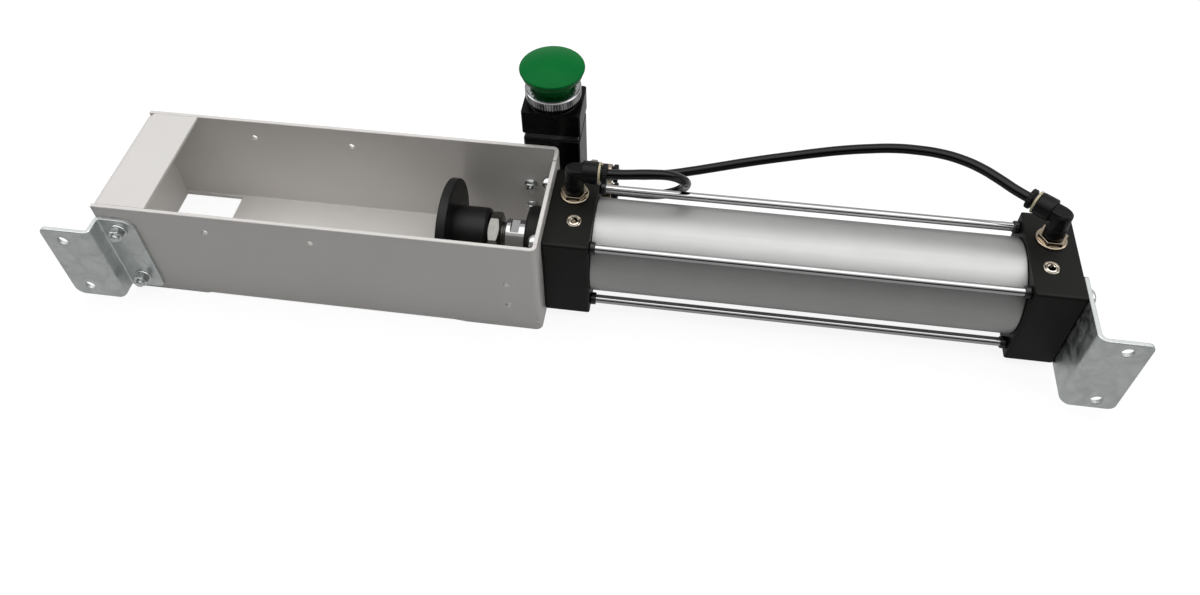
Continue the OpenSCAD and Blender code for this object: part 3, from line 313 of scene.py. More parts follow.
def clouds(tree, shader, place, size, tone, other, detail=3.0, distortion=0.0):
    """Blends two tones in clouds of that size, in metres; returns how far each point is blended."""
    cloud = add(tree, "ShaderNodeTexNoise", {}, {
        "Vector": place, "Scale": 1 / size, "Detail": detail, "Distortion": distortion})
    blend = add(tree, "ShaderNodeMix", {"data_type": "RGBA"}, {
        "Factor": cloud.outputs["Fac"], 6: tone, 7: other})
    tree.links.new(blend.outputs[2], shader.inputs["Base Color"])
    return cloud.outputs["Fac"]


def vary_gloss(tree, shader, share, low, high, start=0.0, end=1.0):
    """Lets the roughness run from low to high as a share runs from start to end."""
    spread = add(tree, "ShaderNodeMapRange", {}, {
        "Value": share, "From Min": start, "From Max": end, "To Min": low, "To Max": high})
    tree.links.new(spread.outputs[0], shader.inputs["Roughness"])


def darker(tone, share):
    """A tone at that share of its light."""
    return [share * c for c in tone[:3]] + [1]


def powder_coat():
    """Powder coated steel: a satin, slightly pebbled coat of baked paint."""
    tints = bpy.context.scene.crusher_colours
    material, tree, shader, place = new_material("powder_coated_steel", IOR=1.5)
    # The coat varies in thickness over about 70 mm, and its orange peel is about 1.6 mm across
    share = clouds(tree, shader, place, 70 * MM, tints.paint, tints.paint_deep)
    vary_gloss(tree, shader, share, 0.26, 0.36)
    grain(tree, shader, place, 1.6 * MM, 0.03 * MM)
    return material


def zinc_sheet():
    """Electroplated zinc on punched sheet: a clouded grey with a soft shine."""
    tints = bpy.context.scene.crusher_colours
    material, tree, shader, place = new_material("zinc_plated_sheet", Metallic=1.0)
    # The plating's clouds are about 9 mm across and drawn out of round, as the bath leaves them
    share = clouds(tree, shader, place, 9 * MM, tints.zinc, tints.zinc_dull, 5, 1.2)
    vary_gloss(tree, shader, share, 0.3, 0.52, 0.3, 0.7)
    grain(tree, shader, place, 1.2 * MM, 0.02 * MM, 0.25, 4)
    return material


def plated_steel(name, tone, roughness, grain_size):
    """Small plated steel pieces: bright, with the tool marks of turning and pressing."""
    material, tree, shader, place = new_material(name, Metallic=1.0)
    share = clouds(tree, shader, place, 3 * MM, tone, darker(tone, 0.72))
    vary_gloss(tree, shader, share, 0.7 * roughness, 1.4 * roughness)
    grain(tree, shader, place, grain_size, 0.01 * MM, 0.2)
    return material


def anodised_barrel():
    """Clear anodised, drawn aluminium tube: satin, with faint marks along and round it."""
    tints = bpy.context.scene.crusher_colours
    material, tree, shader, place = new_material("clear_anodised_aluminium", Metallic=1.0)
    # Drawing leaves streaks about 50 mm long and 1.5 mm wide, drawn this coarse so that they show
    along = add(tree, "ShaderNodeMapping", {}, {"Vector": place, "Scale": (0.03, 1, 1)})
    streak = add(tree, "ShaderNodeTexNoise", {}, {
        "Vector": along.outputs[0], "Scale": 1 / (1.5 * MM), "Detail": 3})
    clouds(tree, shader, place, 14 * MM, tints.barrel, darker(tints.barrel, 0.9), 4)
    vary_gloss(tree, shader, streak.outputs["Fac"], 0.48, 0.6)
    grain(tree, shader, place, 0.8 * MM, 0.006 * MM, 0.2)
    return material


def plain_finish(name, tone, roughness, grain_size, grain_depth, metallic=0.0, shine=0.5):
    """A finish of one tone, with a fine relief and a gloss that varies a little over it."""
    material, tree, shader, place = new_material(
        name, Metallic=metallic, IOR=1.5, Specular_IOR_Level=shine)
    share = clouds(tree, shader, place, 12 * MM, tone, darker(tone, 0.8))
    vary_gloss(tree, shader, share, 0.85 * roughness, 1.15 * roughness)
    grain(tree, shader, place, grain_size, grain_depth, 0.25)
    return material


def finish_of(name):
    """The material of that name, made when it is first asked for."""
    if name in bpy.data.materials:
        return bpy.data.materials[name]
    tints = bpy.context.scene.crusher_colours
    makers = {
        "powder_coated_steel": powder_coat,
        "zinc_plated_sheet": zinc_sheet,
        "clear_anodised_aluminium": anodised_barrel,
        # Zinc plated screws and nuts: brighter than the sheet, from a barrel plating bath
        "zinc_plated_hardware": lambda: plated_steel(name, tints.zinc, 0.15, 0.6 * MM),
        # Black oxide on small turned steel: dark, with a soft shine
        "black_oxide_steel": lambda: plain_finish(
            name, colour("#0E0E0E"), 0.35, 0.5 * MM, 0.004 * MM),
        # Hard chrome on ground rod: nearly a mirror
        "hard_chrome": lambda: plain_finish(
            name, tints.chrome, 0.05, 1 * MM, 0.001 * MM, metallic=1.0),
        # Nickel plated brass: warm and bright
        "nickel_plated_brass": lambda: plated_steel(name, tints.nickel, 0.2, 0.5 * MM),
        # Nickel over polished steel: a warm white, nearly a mirror
        "polished_nickel": lambda: plated_steel(name, colour("#DDD5C8"), 0.16, 0.5 * MM),
        # Sintered and cast bronze: brown yellow, dull
        "bronze": lambda: plated_steel(name, colour("#A88250"), 0.42, 0.4 * MM),
        # Turned aluminium: bright, with fine turning marks
        "turned_aluminium": lambda: plated_steel(name, colour("#CFD0D2"), 0.3, 0.4 * MM),
        # Cut thread and nut of bare steel: darker than the ground rod
        "cut_steel": lambda: plated_steel(name, colour("#8C8A86"), 0.3, 0.5 * MM),
        # Spring steel wire: grey, drawn smooth
        "spring_wire": lambda: plated_steel(name, colour("#A9ABAE"), 0.25, 0.5 * MM),
        # Die-cast and turned ring, satin chromed
        "satin_chrome": lambda: plated_steel(name, colour("#B4B4B6"), 0.2, 0.5 * MM),
        # Black anodised aluminium, milled and bead blasted: deep black, satin
        "black_anodised_aluminium": lambda: plain_finish(
            name, tints.black_caps, 0.45, 0.5 * MM, 0.008 * MM, shine=0.15),
        # Black painted die casting: smooth, rather glossy
        "black_valve_housing": lambda: plain_finish(
            name, tints.black_valve, 0.27, 0.9 * MM, 0.006 * MM, shine=0.1),
        # Moulded plastic plate: dark grey, satin
        "grey_plastic_plate": lambda: plain_finish(
            name, tints.grey_plate, 0.35, 0.9 * MM, 0.006 * MM),
        # Glass-filled plastic, moulded: satin black
        "black_glass_filled_plastic": lambda: plain_finish(
            name, tints.black_plastic, 0.36, 0.7 * MM, 0.01 * MM, shine=0.15),
        # Acetal, turned: black with a soft shine
        "black_acetal": lambda: plain_finish(
            name, tints.plunger, 0.38, 0.6 * MM, 0.008 * MM, shine=0.2),
        # Polyurethane hose, extruded: glossy black
        "black_polyurethane": lambda: plain_finish(
            name, tints.hose, 0.1, 2 * MM, 0.002 * MM, shine=0.25),
        # Nitrile rubber: dull black
        "nitrile_rubber": lambda: plain_finish(
            name, colour("#151515"), 0.62, 0.6 * MM, 0.01 * MM),
        # Filled plastic of the piston's guide ring: brown, dull
        "brown_wear_plastic": lambda: plain_finish(
            name, colour("#8A6A45"), 0.5, 0.6 * MM, 0.01 * MM),
        # Moulded ring in the mouth of a push-in fitting: cream, smooth
        "cream_plastic": lambda: plain_finish(name, tints.cream, 0.3, 0.8 * MM, 0.005 * MM),
        # ABS, moulded: green, smooth and satin
        "green_abs": lambda: plain_finish(
            name, tints.button, 0.35, 1.5 * MM, 0.006 * MM, shine=0.07),
    }
    return makers[name]()


def coat(node, material):
    """Gives a CAD node that stays as it is another material."""
    for slot in frame["nodes"][node].material_slots:
        slot.link = "OBJECT"
        slot.material = finish_of(material)


def settle(obj, name, body, material, nodes=()):
    """Puts a finished piece's place in its mesh, and makes it ride on a body."""
    pick(obj)
    bpy.ops.object.transform_apply(location=True, rotation=True, scale=True)
    bpy.ops.object.shade_smooth_by_angle(angle=CREASE)
    obj.name = obj.data.name = name
    obj.data.materials.clear()
    obj.data.materials.append(finish_of(material))
    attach(obj, body)
    if nodes:
        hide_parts(*nodes)
    return obj


def body_of(node):
    """The body that a CAD node rides on."""
    return frame["nodes"][node]["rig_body"]


def copy_of(node):
    """A loose copy of a CAD node, with its triangles merged into the faces that they came from."""
    obj = bpy.data.objects.new(node + "_copy", frame["nodes"][node].data.copy())
    bpy.context.collection.objects.link(obj)
    pick(obj)
    bpy.ops.mesh.customdata_custom_splitnormals_clear()
    edit(obj)
    bpy.ops.mesh.select_all(action="SELECT")
    bpy.ops.mesh.remove_doubles(threshold=WELD)
    bpy.ops.mesh.dissolve_limited(angle_limit=FLAT, delimit={"NORMAL"})
    bpy.ops.object.mode_set(mode="OBJECT")
    return obj


def break_edges(obj, width):
    """Bevels the sharp edges, and keeps the flat faces shaded flat; a width of 0 leaves them."""
    if not width:
        return
    pick(obj)
    bpy.ops.object.shade_smooth_by_angle(angle=CREASE)
    bevel = obj.modifiers.new("broken edge", "BEVEL")
    bevel.width = width
    bevel.segments = 2
    bevel.limit_method = "ANGLE"
    bevel.angle_limit = CREASE
    bevel.use_clamp_overlap = False
    bevel.miter_outer = "MITER_ARC"
    weigh = obj.modifiers.new("flat faces", "WEIGHTED_NORMAL")
    weigh.keep_sharp = True
    for modifier in (bevel.name, weigh.name):
        bpy.ops.object.modifier_apply(modifier=modifier)


def cut_off(obj, place, normal):
    """Cuts away what a plane's normal points away from, and closes the cut."""
    edit(obj)
    bpy.ops.mesh.select_all(action="SELECT")
    bpy.ops.mesh.bisect(plane_co=place, plane_no=normal, use_fill=True, clear_inner=True)
    bpy.ops.object.mode_set(mode="OBJECT")


def dress(node, word, material, width):
    """Stands a copy with broken edges in a CAD node's place."""
    obj = settle(copy_of(node), f"{word}_{node}", body_of(node), material, [node])
    break_edges(obj, width)


def middle(node):
    """The centre of a CAD node's box."""
    low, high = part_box(node)
    return (low + high) / 2


ALONG = {
    "z": Matrix.Identity(4),
    "x": Matrix.Rotation(math.radians(90), 4, "Y"),
    "-x": Matrix.Rotation(math.radians(-90), 4, "Y"),
    "-y": Matrix.Rotation(math.radians(90), 4, "X"),
}


def lathe(outline, steps):
    """Spins an outline of (radius, height) points round the z axis."""
    clear_selection()
    bpy.ops.mesh.primitive_plane_add(size=MM)
    obj = bpy.context.object
    bpy.ops.object.mode_set(mode="EDIT")
    bpy.ops.mesh.select_mode(type="VERT")
    bpy.ops.mesh.merge(type="CENTER")
    bpy.ops.transform.translate(value=(outline[0][0], 0, outline[0][1]))
    for near, far in zip(outline, outline[1:]):
        step = (far[0] - near[0], 0, far[1] - near[1])
        bpy.ops.mesh.extrude_region_move(TRANSFORM_OT_translate={"value": step})
    bpy.ops.mesh.select_all(action="SELECT")
    bpy.ops.mesh.spin(steps=steps, angle=math.tau, center=(0, 0, 0), axis=(0, 0, 1))
    bpy.ops.mesh.select_all(action="SELECT")
    bpy.ops.mesh.remove_doubles(threshold=WELD)
    bpy.ops.mesh.normals_make_consistent(inside=False)
    bpy.ops.object.mode_set(mode="OBJECT")
    return obj


def pinch(obj, steps, every, low, high, inner, share):
    """Draws one column in every few of a turned flank towards the axis, as a flute."""
    def in_flute(point):
        column = round(math.atan2(point.y, point.x) / math.tau * steps) % every
        return column == 0 and low < point.z < high and point.xy.length > inner
    edit(obj)
    select_vertices(obj, in_flute)
    bpy.ops.transform.resize(value=(share, share, 1), center_override=(0, 0, 0))
    bpy.ops.object.mode_set(mode="OBJECT")


def set_at(obj, place, along="z", turn=0.0):
    """Turns a piece that was made on the z axis along another, and moves it to its place."""
    obj.matrix_world = Matrix.Translation(place) @ Matrix.Rotation(turn, 4, "Z") @ ALONG[along]


def tube_outline(outer, inner, low, high, edge):
    """The closed outline of a sleeve, with its outer edges broken."""
    return [(inner, low), (outer - edge, low), (outer, low + edge), (outer, high - edge),
            (outer - edge, high), (inner, high), (inner, low)]


def thread_outline(outer, pitch, low, high):
    """The outline of a thread's ridges, closed on the axis at both ends.

    A ridge is 0.6 of the pitch deep, and its crest a tenth of the pitch wide.
    """
    depth = 0.6 * pitch
    count = max(1, round((high - low) / pitch))
    step = (high - low) / count
    points = [(0, low), (outer - depth, low)]
    for i in range(count):
        start = low + i * step
        points += [(outer, start + 0.45 * step), (outer, start + 0.55 * step),
                   (outer - depth, start + step)]
    return points + [(0, high)]


def arc(centre, radius, start, end, count):
    """Points on an arc in the outline's plane, between two angles in degrees."""
    angles = [math.radians(start + (end - start) * i / count) for i in range(count + 1)]
    return [(centre[0] + radius * math.cos(a), centre[1] + radius * math.sin(a)) for a in angles]


def join(objects):
    """Makes one object of several."""
    pick(*objects)
    if len(objects) > 1:
        bpy.ops.object.join()
    return bpy.context.object


class CRUSHER_OT_stage(bpy.types.Operator):
    """Adds the camera, the lamps, the world and a pale floor"""
    bl_idname = "crusher.stage"
    bl_label = "Stage"

    def execute(self, context):
        scene = context.scene
        stage = scene.crusher_stage
        scene.view_settings.view_transform = "Standard"
        clear_selection()
        bpy.ops.object.camera_add(location=stage.camera_place, rotation=stage.camera_turn)
        camera = context.object
        camera.name = "camera"
        camera.data.lens = stage.lens
        camera.data.sensor_width = SENSOR_WIDTH
        camera.data.shift_x, camera.data.shift_y = stage.shift
        scene.camera = camera

        for (name, place, size), power in zip(LAMPS, (stage.key_power, stage.side_power)):
            bpy.ops.object.light_add(type="AREA", location=place)
            lamp = context.object
            lamp.name = name + "_lamp"
            lamp.data.shape = "RECTANGLE"
            lamp.data.size, lamp.data.size_y = size
            lamp.data.energy = power
            # Gloss sees the world's softbox instead, which runs on along the whole object
            lamp.visible_glossy = False
            if name == "right":
                lamp.rotation_euler = (-Vector(place)).to_track_quat("-Z", "Y").to_euler()

        clear_selection()
        bpy.ops.mesh.primitive_plane_add(size=FLOOR_WIDTH, location=(0, 0, -FLOOR_DEPTH))
        floor = context.object
        floor.name = "floor"
        floor.data.materials.append(self.floor_material())
        self.light_world(scene)
        return {"FINISHED"}

    def rays(self, tree):
        """Whether a ray comes straight from the camera or through glass, and whether from gloss."""
        path = add(tree, "ShaderNodeLightPath", {}, {})
        seen = add(tree, "ShaderNodeMath", {"operation": "MAXIMUM"}, {
            0: path.outputs["Is Camera Ray"], 1: path.outputs["Is Transmission Ray"]})
        return seen.outputs[0], path.outputs["Is Glossy Ray"]

    def floor_material(self):
        """White matt card: it keeps a soft shadow and otherwise shows as white."""
        material = bpy.data.materials.new("white_card")
        material.use_nodes = True
        tree = material.node_tree
        tree.nodes.clear()
        seen, glossy = self.rays(tree)
        gloss = bpy.context.scene.crusher_stage.floor_gloss
        strength = add(tree, "ShaderNodeMapRange", {}, {
            "Value": glossy, "To Min": CARD_LIGHT, "To Max": gloss})
        matt = add(tree, "ShaderNodeBsdfDiffuse", {}, {"Color": colour(CARD_TONE)})
        white = add(tree, "ShaderNodeEmission", {}, {
            "Color": (1, 1, 1, 1), "Strength": strength.outputs[0]})
        part = add(tree, "ShaderNodeMath", {"operation": "MULTIPLY"}, {0: seen, 1: CARD_SHARE})
        share = add(tree, "ShaderNodeMath", {"operation": "MAXIMUM"}, {
            0: part.outputs[0], 1: glossy})
        mixed = add(tree, "ShaderNodeMixShader", {}, {
            "Fac": share.outputs[0], 1: matt.outputs[0], 2: white.outputs[0]})
        add(tree, "ShaderNodeOutputMaterial", {}, {"Surface": mixed.outputs[0]})
        return material

    def light_world(self, scene):
        """A softbox overhead and pale walls, but for the dark side that the camera stands on."""
        world = bpy.data.worlds.new("studio")
        scene.world = world
        world.use_nodes = True
        tree = world.node_tree
        tree.nodes.clear()
        seen, glossy = self.rays(tree)
        way = add(tree, "ShaderNodeTexCoord", {}, {}).outputs["Generated"]
        stage = scene.crusher_stage
        # Only a direction's height counts, so that the softbox runs on along the whole object
        across = add(tree, "ShaderNodeVectorMath", {"operation": "MULTIPLY"}, {
            0: way, 1: (0, 1, 1)})
        height = add(tree, "ShaderNodeVectorMath", {"operation": "NORMALIZE"}, {
            0: across.outputs[0]})
        split = add(tree, "ShaderNodeSeparateXYZ", {}, {"Vector": height.outputs[0]})
        softbox = add(tree, "ShaderNodeMapRange", {"interpolation_type": "SMOOTHSTEP"}, {
            "Value": split.outputs["Z"],
            "From Min": SOFTBOX_FADE[0], "From Max": SOFTBOX_FADE[1],
            "To Min": stage.wall_gloss, "To Max": stage.softbox_gloss})
        front = add(tree, "ShaderNodeMapRange", {"interpolation_type": "SMOOTHSTEP"}, {
            "Value": split.outputs["Y"], "From Min": FRONT_FADE[0], "From Max": FRONT_FADE[1],
            "To Min": stage.front_gloss, "To Max": softbox.outputs[0]})
        plain = add(tree, "ShaderNodeMix", {}, {0: glossy, 2: ROOM_LIGHT, 3: front.outputs[0]})
        strength = add(tree, "ShaderNodeMix", {}, {0: seen, 2: plain.outputs[0], 3: 1.0})
        light = add(tree, "ShaderNodeBackground", {}, {
            "Color": (1, 1, 1, 1), "Strength": strength.outputs[0]})
        add(tree, "ShaderNodeOutputWorld", {}, {"Surface": light.outputs[0]})


class CRUSHER_OT_hoses(bpy.types.Operator):
    """Adds the two air hoses"""
    bl_idname = "crusher.hoses"
    bl_label = "Hoses"

    def execute(self, context):
        width = context.scene.crusher_sizes.hose_width
        for name, route, node in (("front_hose", FRONT_ROUTE, "tube_front"),
                                  ("rear_hose", REAR_ROUTE, "tube_rear")):
            points = [Vector(p) * MM for p in route]
            line = bpy.data.curves.new(name, "CURVE")
            line.dimensions = "3D"
            line.bevel_depth = width / 2
            line.bevel_resolution = HOSE_STEPS
            line.resolution_u = HOSE_STEPS
            line.use_fill_caps = True
            spline = line.splines.new("BEZIER")
            spline.bezier_points.add(len(points) - 1)
            for knot, point in zip(spline.bezier_points, points):
                knot.co = point
                knot.handle_left_type = knot.handle_right_type = "AUTO"
            hose = bpy.data.objects.new(name, line)
            context.collection.objects.link(hose)
            line.materials.append(finish_of("black_polyurethane"))
            context.view_layer.update()
            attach(hose, "frame")
            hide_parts(node)
        return {"FINISHED"}


class CRUSHER_OT_chamber(bpy.types.Operator):
    """Paints the folded chamber, its end cover and its end plate"""
    bl_idname = "crusher.chamber"
    bl_label = "Chamber"

    def execute(self, context):
        sizes = context.scene.crusher_sizes
        for node in ("chamber_trough", "end_cover"):
            dress(node, "painted", "powder_coated_steel", sizes.sheet_edge)
        self.add_end_plate(sizes)
        self.add_weld_dots(sizes)
        return {"FINISHED"}

    def add_end_plate(self, sizes):
        """The end plate stops short of the wall's return, so that their seam shows."""
        plate = copy_of("end_plate")
        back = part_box("end_plate")[1].y - sizes.seam / 2
        edit(plate)
        select_vertices(plate, lambda point: point.y > back)
        bpy.ops.transform.translate(value=(0, -sizes.seam, 0))
        bpy.ops.object.mode_set(mode="OBJECT")
        settle(plate, "painted_end_plate", "frame", "powder_coated_steel",
               ["end_plate"])
        break_edges(plate, sizes.sheet_edge)

    def add_weld_dots(self, sizes):
        """Two dots of weld hold the end plate's foot from the front."""
        wall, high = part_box("chamber_trough")
        radius = sizes.weld_dot / 2
        dome = [(0, 0), (radius, 0), (0.7 * radius, 0.35 * radius), (0, 0.5 * radius)]
        dots = []
        for z in WELD_DOT_HEIGHTS:
            dot = lathe(dome, DOT_STEPS)
            set_at(dot, (high.x - WELD_DOT_INSET, wall.y, z), "-y")
            dots.append(dot)
        settle(join(dots), "weld_dots", "frame", "powder_coated_steel")


class CRUSHER_OT_brackets(bpy.types.Operator):
    """Plates the two wall brackets"""
    bl_idname = "crusher.brackets"
    bl_label = "Wall brackets"

    def execute(self, context):
        edge = context.scene.crusher_sizes.sheet_edge
        for node in ("left_bracket", "right_bracket"):
            dress(node, "plated", "zinc_plated_sheet", edge)
        return {"FINISHED"}


class CRUSHER_OT_fasteners(bpy.types.Operator):
    """Plates the screws, bolts, nuts and washers, and cuts the threads that show"""
    bl_idname = "crusher.fasteners"
    bl_label = "Fasteners"

    def execute(self, context):
        sizes = context.scene.crusher_sizes
        for node in ("end_plate_screws", "right_bracket_screws", "left_bracket_washers",
                     "left_bracket_nuts", "valve_nuts"):
            dress(node, "plated", "zinc_plated_hardware", sizes.small_edge)
        dress("jam_nut", "plated", "cut_steel", sizes.small_edge)
        self.cut_thread(sizes, "left_bracket_bolts", "left_bracket_nuts", sizes.bracket_bolt / 2)
        self.cut_thread(sizes, "valve_bolts", "valve_nuts", sizes.valve_bolt / 2)
        coat("tie_rod_nuts", "zinc_plated_hardware")
        coat("piston_nut", "zinc_plated_hardware")
        return {"FINISHED"}

    def cut_thread(self, sizes, bolts, nuts, radius):
        """Puts a thread where the bolts come out of their nuts, towards the front."""
        low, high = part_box(bolts)
        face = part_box(nuts)[0].y + THREAD_START
        body = copy_of(bolts)
        cut_off(body, (0, face, 0), (0, 1, 0))
        # The heads are round, and one bolt is straight over the other
        head = (high.x - low.x) / 2
        outline = thread_outline(radius, sizes.bolt_pitch, 0, face - low.y)
        pieces = [body]
        for z in (low.z + head, high.z - head):
            thread = lathe(outline, BOLT_STEPS)
            set_at(thread, (low.x + head, face, z), "-y")
            pieces.append(thread)
        settle(join(pieces), "plated_" + bolts, "frame", "zinc_plated_hardware",
               [bolts])


class CRUSHER_OT_caps(bpy.types.Operator):
    """Anodises the front and the rear cap"""
    bl_idname = "crusher.caps"
    bl_label = "Cylinder caps"

    def execute(self, context):
        edge = context.scene.crusher_sizes.block_edge
        for node in ("front_cap", "rear_cap"):
            dress(node, "anodised", "black_anodised_aluminium", edge)
        return {"FINISHED"}


class CRUSHER_OT_barrel(bpy.types.Operator):
    """Draws the barrel, and gives it its seals"""
    bl_idname = "crusher.barrel"
    bl_label = "Barrel"

    def execute(self, context):
        low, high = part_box("barrel")
        seal_low, seal_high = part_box("barrel_seals")
        outer = (high.z - low.z) / 2
        inner = (seal_high.z - seal_low.z) / 2
        edge = context.scene.crusher_sizes.barrel_edge
        tube = lathe(tube_outline(outer, inner, 0, high.x - low.x, edge), BARREL_STEPS)
        axis = middle("barrel")
        set_at(tube, (low.x, axis.y, axis.z), "x")
        settle(tube, "drawn_barrel", "frame", "clear_anodised_aluminium",
               ["barrel"])
        for node in ("barrel_seals", "cushion_seals", "rod_wiper"):
            coat(node, "nitrile_rubber")
        coat("rod_bushing", "bronze")
        return {"FINISHED"}


class CRUSHER_OT_rods(bpy.types.Operator):
    """Grinds and chromes the four tie rods and the piston rod, and cuts the piston rod's thread"""
    bl_idname = "crusher.rods"
    bl_label = "Rods"

    def execute(self, context):
        sizes = context.scene.crusher_sizes
        low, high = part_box("tie_rods")
        radius = sizes.tie_rod / 2
        outline = [(0, 0), (radius, 0), (radius, high.x - low.x), (0, high.x - low.x)]
        rods = []
        for y in (low.y + radius, high.y - radius):
            for z in (low.z + radius, high.z - radius):
                rod = lathe(outline, TIE_ROD_STEPS)
                set_at(rod, (low.x, y, z), "x")
                rods.append(rod)
        settle(join(rods), "ground_tie_rods", "frame", "hard_chrome", ["tie_rods"])
        dress("tie_rod_collars", "blackened", "black_oxide_steel", sizes.small_edge)

        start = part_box("piston_rod")[0].x
        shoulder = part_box("jam_nut")[1].x + sizes.thread_show
        axis = middle("piston_rod")
        rod = copy_of("piston_rod")
        cut_off(rod, (shoulder, 0, 0), (1, 0, 0))
        settle(rod, "chromed_piston_rod", "plunger_set", "hard_chrome",
               ["piston_rod"])
        break_edges(rod, sizes.small_edge)
        outline = thread_outline(sizes.rod_thread / 2, sizes.thread_pitch, 0, shoulder - start)
        thread = lathe(outline, ROD_STEPS)
        set_at(thread, (start, axis.y, axis.z), "x")
        settle(thread, "rod_thread", "plunger_set", "cut_steel")
        return {"FINISHED"}


class CRUSHER_OT_piston(bpy.types.Operator):
    """Finishes the piston and what rides with it inside the barrel"""
    bl_idname = "crusher.piston"
    bl_label = "Piston"

    def execute(self, context):
        for node in ("piston", "front_spear", "rear_spear"):
            coat(node, "turned_aluminium")
        coat("piston_seals", "nitrile_rubber")
        coat("wear_ring", "brown_wear_plastic")
        return {"FINISHED"}


class CRUSHER_OT_plunger(bpy.types.Operator):
    """Turns the plunger's disc and hub"""
    bl_idname = "crusher.plunger"
    bl_label = "Plunger"

    def execute(self, context):
        dress("plunger", "turned", "black_acetal",
              context.scene.crusher_sizes.block_edge)
        return {"FINISHED"}


class CRUSHER_OT_needles(bpy.types.Operator):
    """Finishes the two cushion screws and their collars"""
    bl_idname = "crusher.needles"
    bl_label = "Cushion screws"

    def execute(self, context):
        edge = context.scene.crusher_sizes.needle_edge
        for node in ("front_needle", "rear_needle", "needle_collars"):
            dress(node, "plated", "polished_nickel", edge)
        return {"FINISHED"}


class CRUSHER_OT_elbows(bpy.types.Operator):
    """Moulds the two elbows and finishes their bases and rings"""
    bl_idname = "crusher.elbows"
    bl_label = "Elbow fittings"

    def execute(self, context):
        sizes = context.scene.crusher_sizes
        dress("elbow_bases", "plated", "nickel_plated_brass", sizes.small_edge)
        for node in ("front_elbow", "rear_elbow"):
            self.mould(node, sizes.moulded_grain)
        dress("elbow_rings", "moulded", "cream_plastic", sizes.small_edge)
        return {"FINISHED"}

    def mould(self, node, grain_size):
        """Rounds all the corners of an elbow, as the mould leaves them."""
        elbow = copy_of(node)
        elbow.data.remesh_voxel_size = grain_size
        bpy.ops.object.voxel_remesh()
        soften = elbow.modifiers.new("rounding", "SMOOTH")
        soften.factor = MOULD_SOFTENING
        soften.iterations = MOULD_ROUNDS
        bpy.ops.object.modifier_apply(modifier=soften.name)
        settle(elbow, "moulded_" + node, body_of(node),
               "black_glass_filled_plastic", [node])
        pick(elbow)
        bpy.ops.object.shade_smooth()


class CRUSHER_OT_straight_fittings(bpy.types.Operator):
    """Finishes the valve's push-in fittings and silencers"""
    bl_idname = "crusher.straight_fittings"
    bl_label = "Straight fittings"

    def execute(self, context):
        edge = context.scene.crusher_sizes.small_edge
        for node in ("valve_fittings", "inlet_fitting"):
            dress(node, "plated", "nickel_plated_brass", edge)
        dress("silencers", "sintered", "bronze", edge)
        return {"FINISHED"}


class CRUSHER_OT_collets(bpy.types.Operator):
    """Moulds the release collars of the push-in fittings, with grips round their flanges"""
    bl_idname = "crusher.collets"
    bl_label = "Release collars"

    def execute(self, context):
        sizes = context.scene.crusher_sizes
        turn = sizes.rear_turn
        outwards = {
            "front_collet": ("x", 0.0, Vector((1, 0, 0))),
            "rear_collet": ("x", turn, Vector((math.cos(turn), math.sin(turn), 0))),
            "upper_valve_collet": ("x", 0.0, Vector((1, 0, 0))),
            "lower_valve_collet": ("x", 0.0, Vector((1, 0, 0))),
            "inlet_collet": ("-x", 0.0, Vector((-1, 0, 0))),
        }
        hole = sizes.collar_hole / 2
        neck_r = sizes.collar_neck / 2
        flange_r = sizes.collar_flange / 2
        edge, total, z0 = sizes.collar_edge, sizes.collar_length, sizes.collar_flange_start
        outline = [(hole, 0), (neck_r, 0), (neck_r, z0), (flange_r - edge, z0),
                   (flange_r, z0 + edge), (flange_r, z0 + 2 * edge),
                   (flange_r, total - 2 * edge), (flange_r, total - edge),
                   (flange_r - edge, total), (hole + edge, total), (hole, total - edge),
                   (hole, 0)]
        for node, (along, spin, out) in outwards.items():
            collar = lathe(outline, COLLAR_STEPS)
            pinch(collar, COLLAR_STEPS, GRIP_STEPS, z0 + edge / 2, total - edge / 2,
                  flange_r - edge / 2, 1 - sizes.grip_depth / flange_r)
            set_at(collar, middle(node) - out * total / 2, along, spin)
            settle(collar, "moulded_" + node, body_of(node),
                   "black_glass_filled_plastic", [node])
        return {"FINISHED"}


class CRUSHER_OT_valve(bpy.types.Operator):
    """Finishes the valve's housing, end cap, plate and head"""
    bl_idname = "crusher.valve"
    bl_label = "Valve"

    def execute(self, context):
        edge = context.scene.crusher_sizes.block_edge
        dress("valve_body", "cast", "black_valve_housing", edge)
        dress("valve_head", "cast", "black_valve_housing", edge)
        dress("valve_end_cap", "moulded", "grey_plastic_plate", edge)
        dress("valve_plate", "moulded", "grey_plastic_plate", edge)
        return {"FINISHED"}


class CRUSHER_OT_button_ring(bpy.types.Operator):
    """Turns and knurls the ring under the button, and its dress ring"""
    bl_idname = "crusher.button_ring"
    bl_label = "Button ring"

    def execute(self, context):
        sizes = context.scene.crusher_sizes
        low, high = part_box("bezel_ring")
        outer = (high.x - low.x) / 2
        inner = sizes.ring_bore / 2
        tall = high.z - low.z
        edge = sizes.ring_edge
        # The flutes are at full depth from this height on, and run out to the broken edges
        flute = 1.5 * edge
        outline = [(inner, 0), (outer - edge, 0), (outer, edge), (outer, flute),
                   (outer, tall - flute), (outer, tall - edge), (outer - edge, tall),
                   (inner, tall), (inner, 0)]
        steps = FLUTE_STEPS * sizes.flutes
        ring = lathe(outline, steps)
        between = (edge + flute) / 2
        pinch(ring, steps, FLUTE_STEPS, between, tall - between, outer - edge / 2,
              1 - sizes.flute_depth / outer)
        axis = middle("bezel_ring")
        set_at(ring, (axis.x, axis.y, low.z))
        settle(ring, "knurled_bezel_ring", "frame", "satin_chrome", ["bezel_ring"])
        dress("dress_ring", "turned", "satin_chrome", sizes.small_edge)
        return {"FINISHED"}


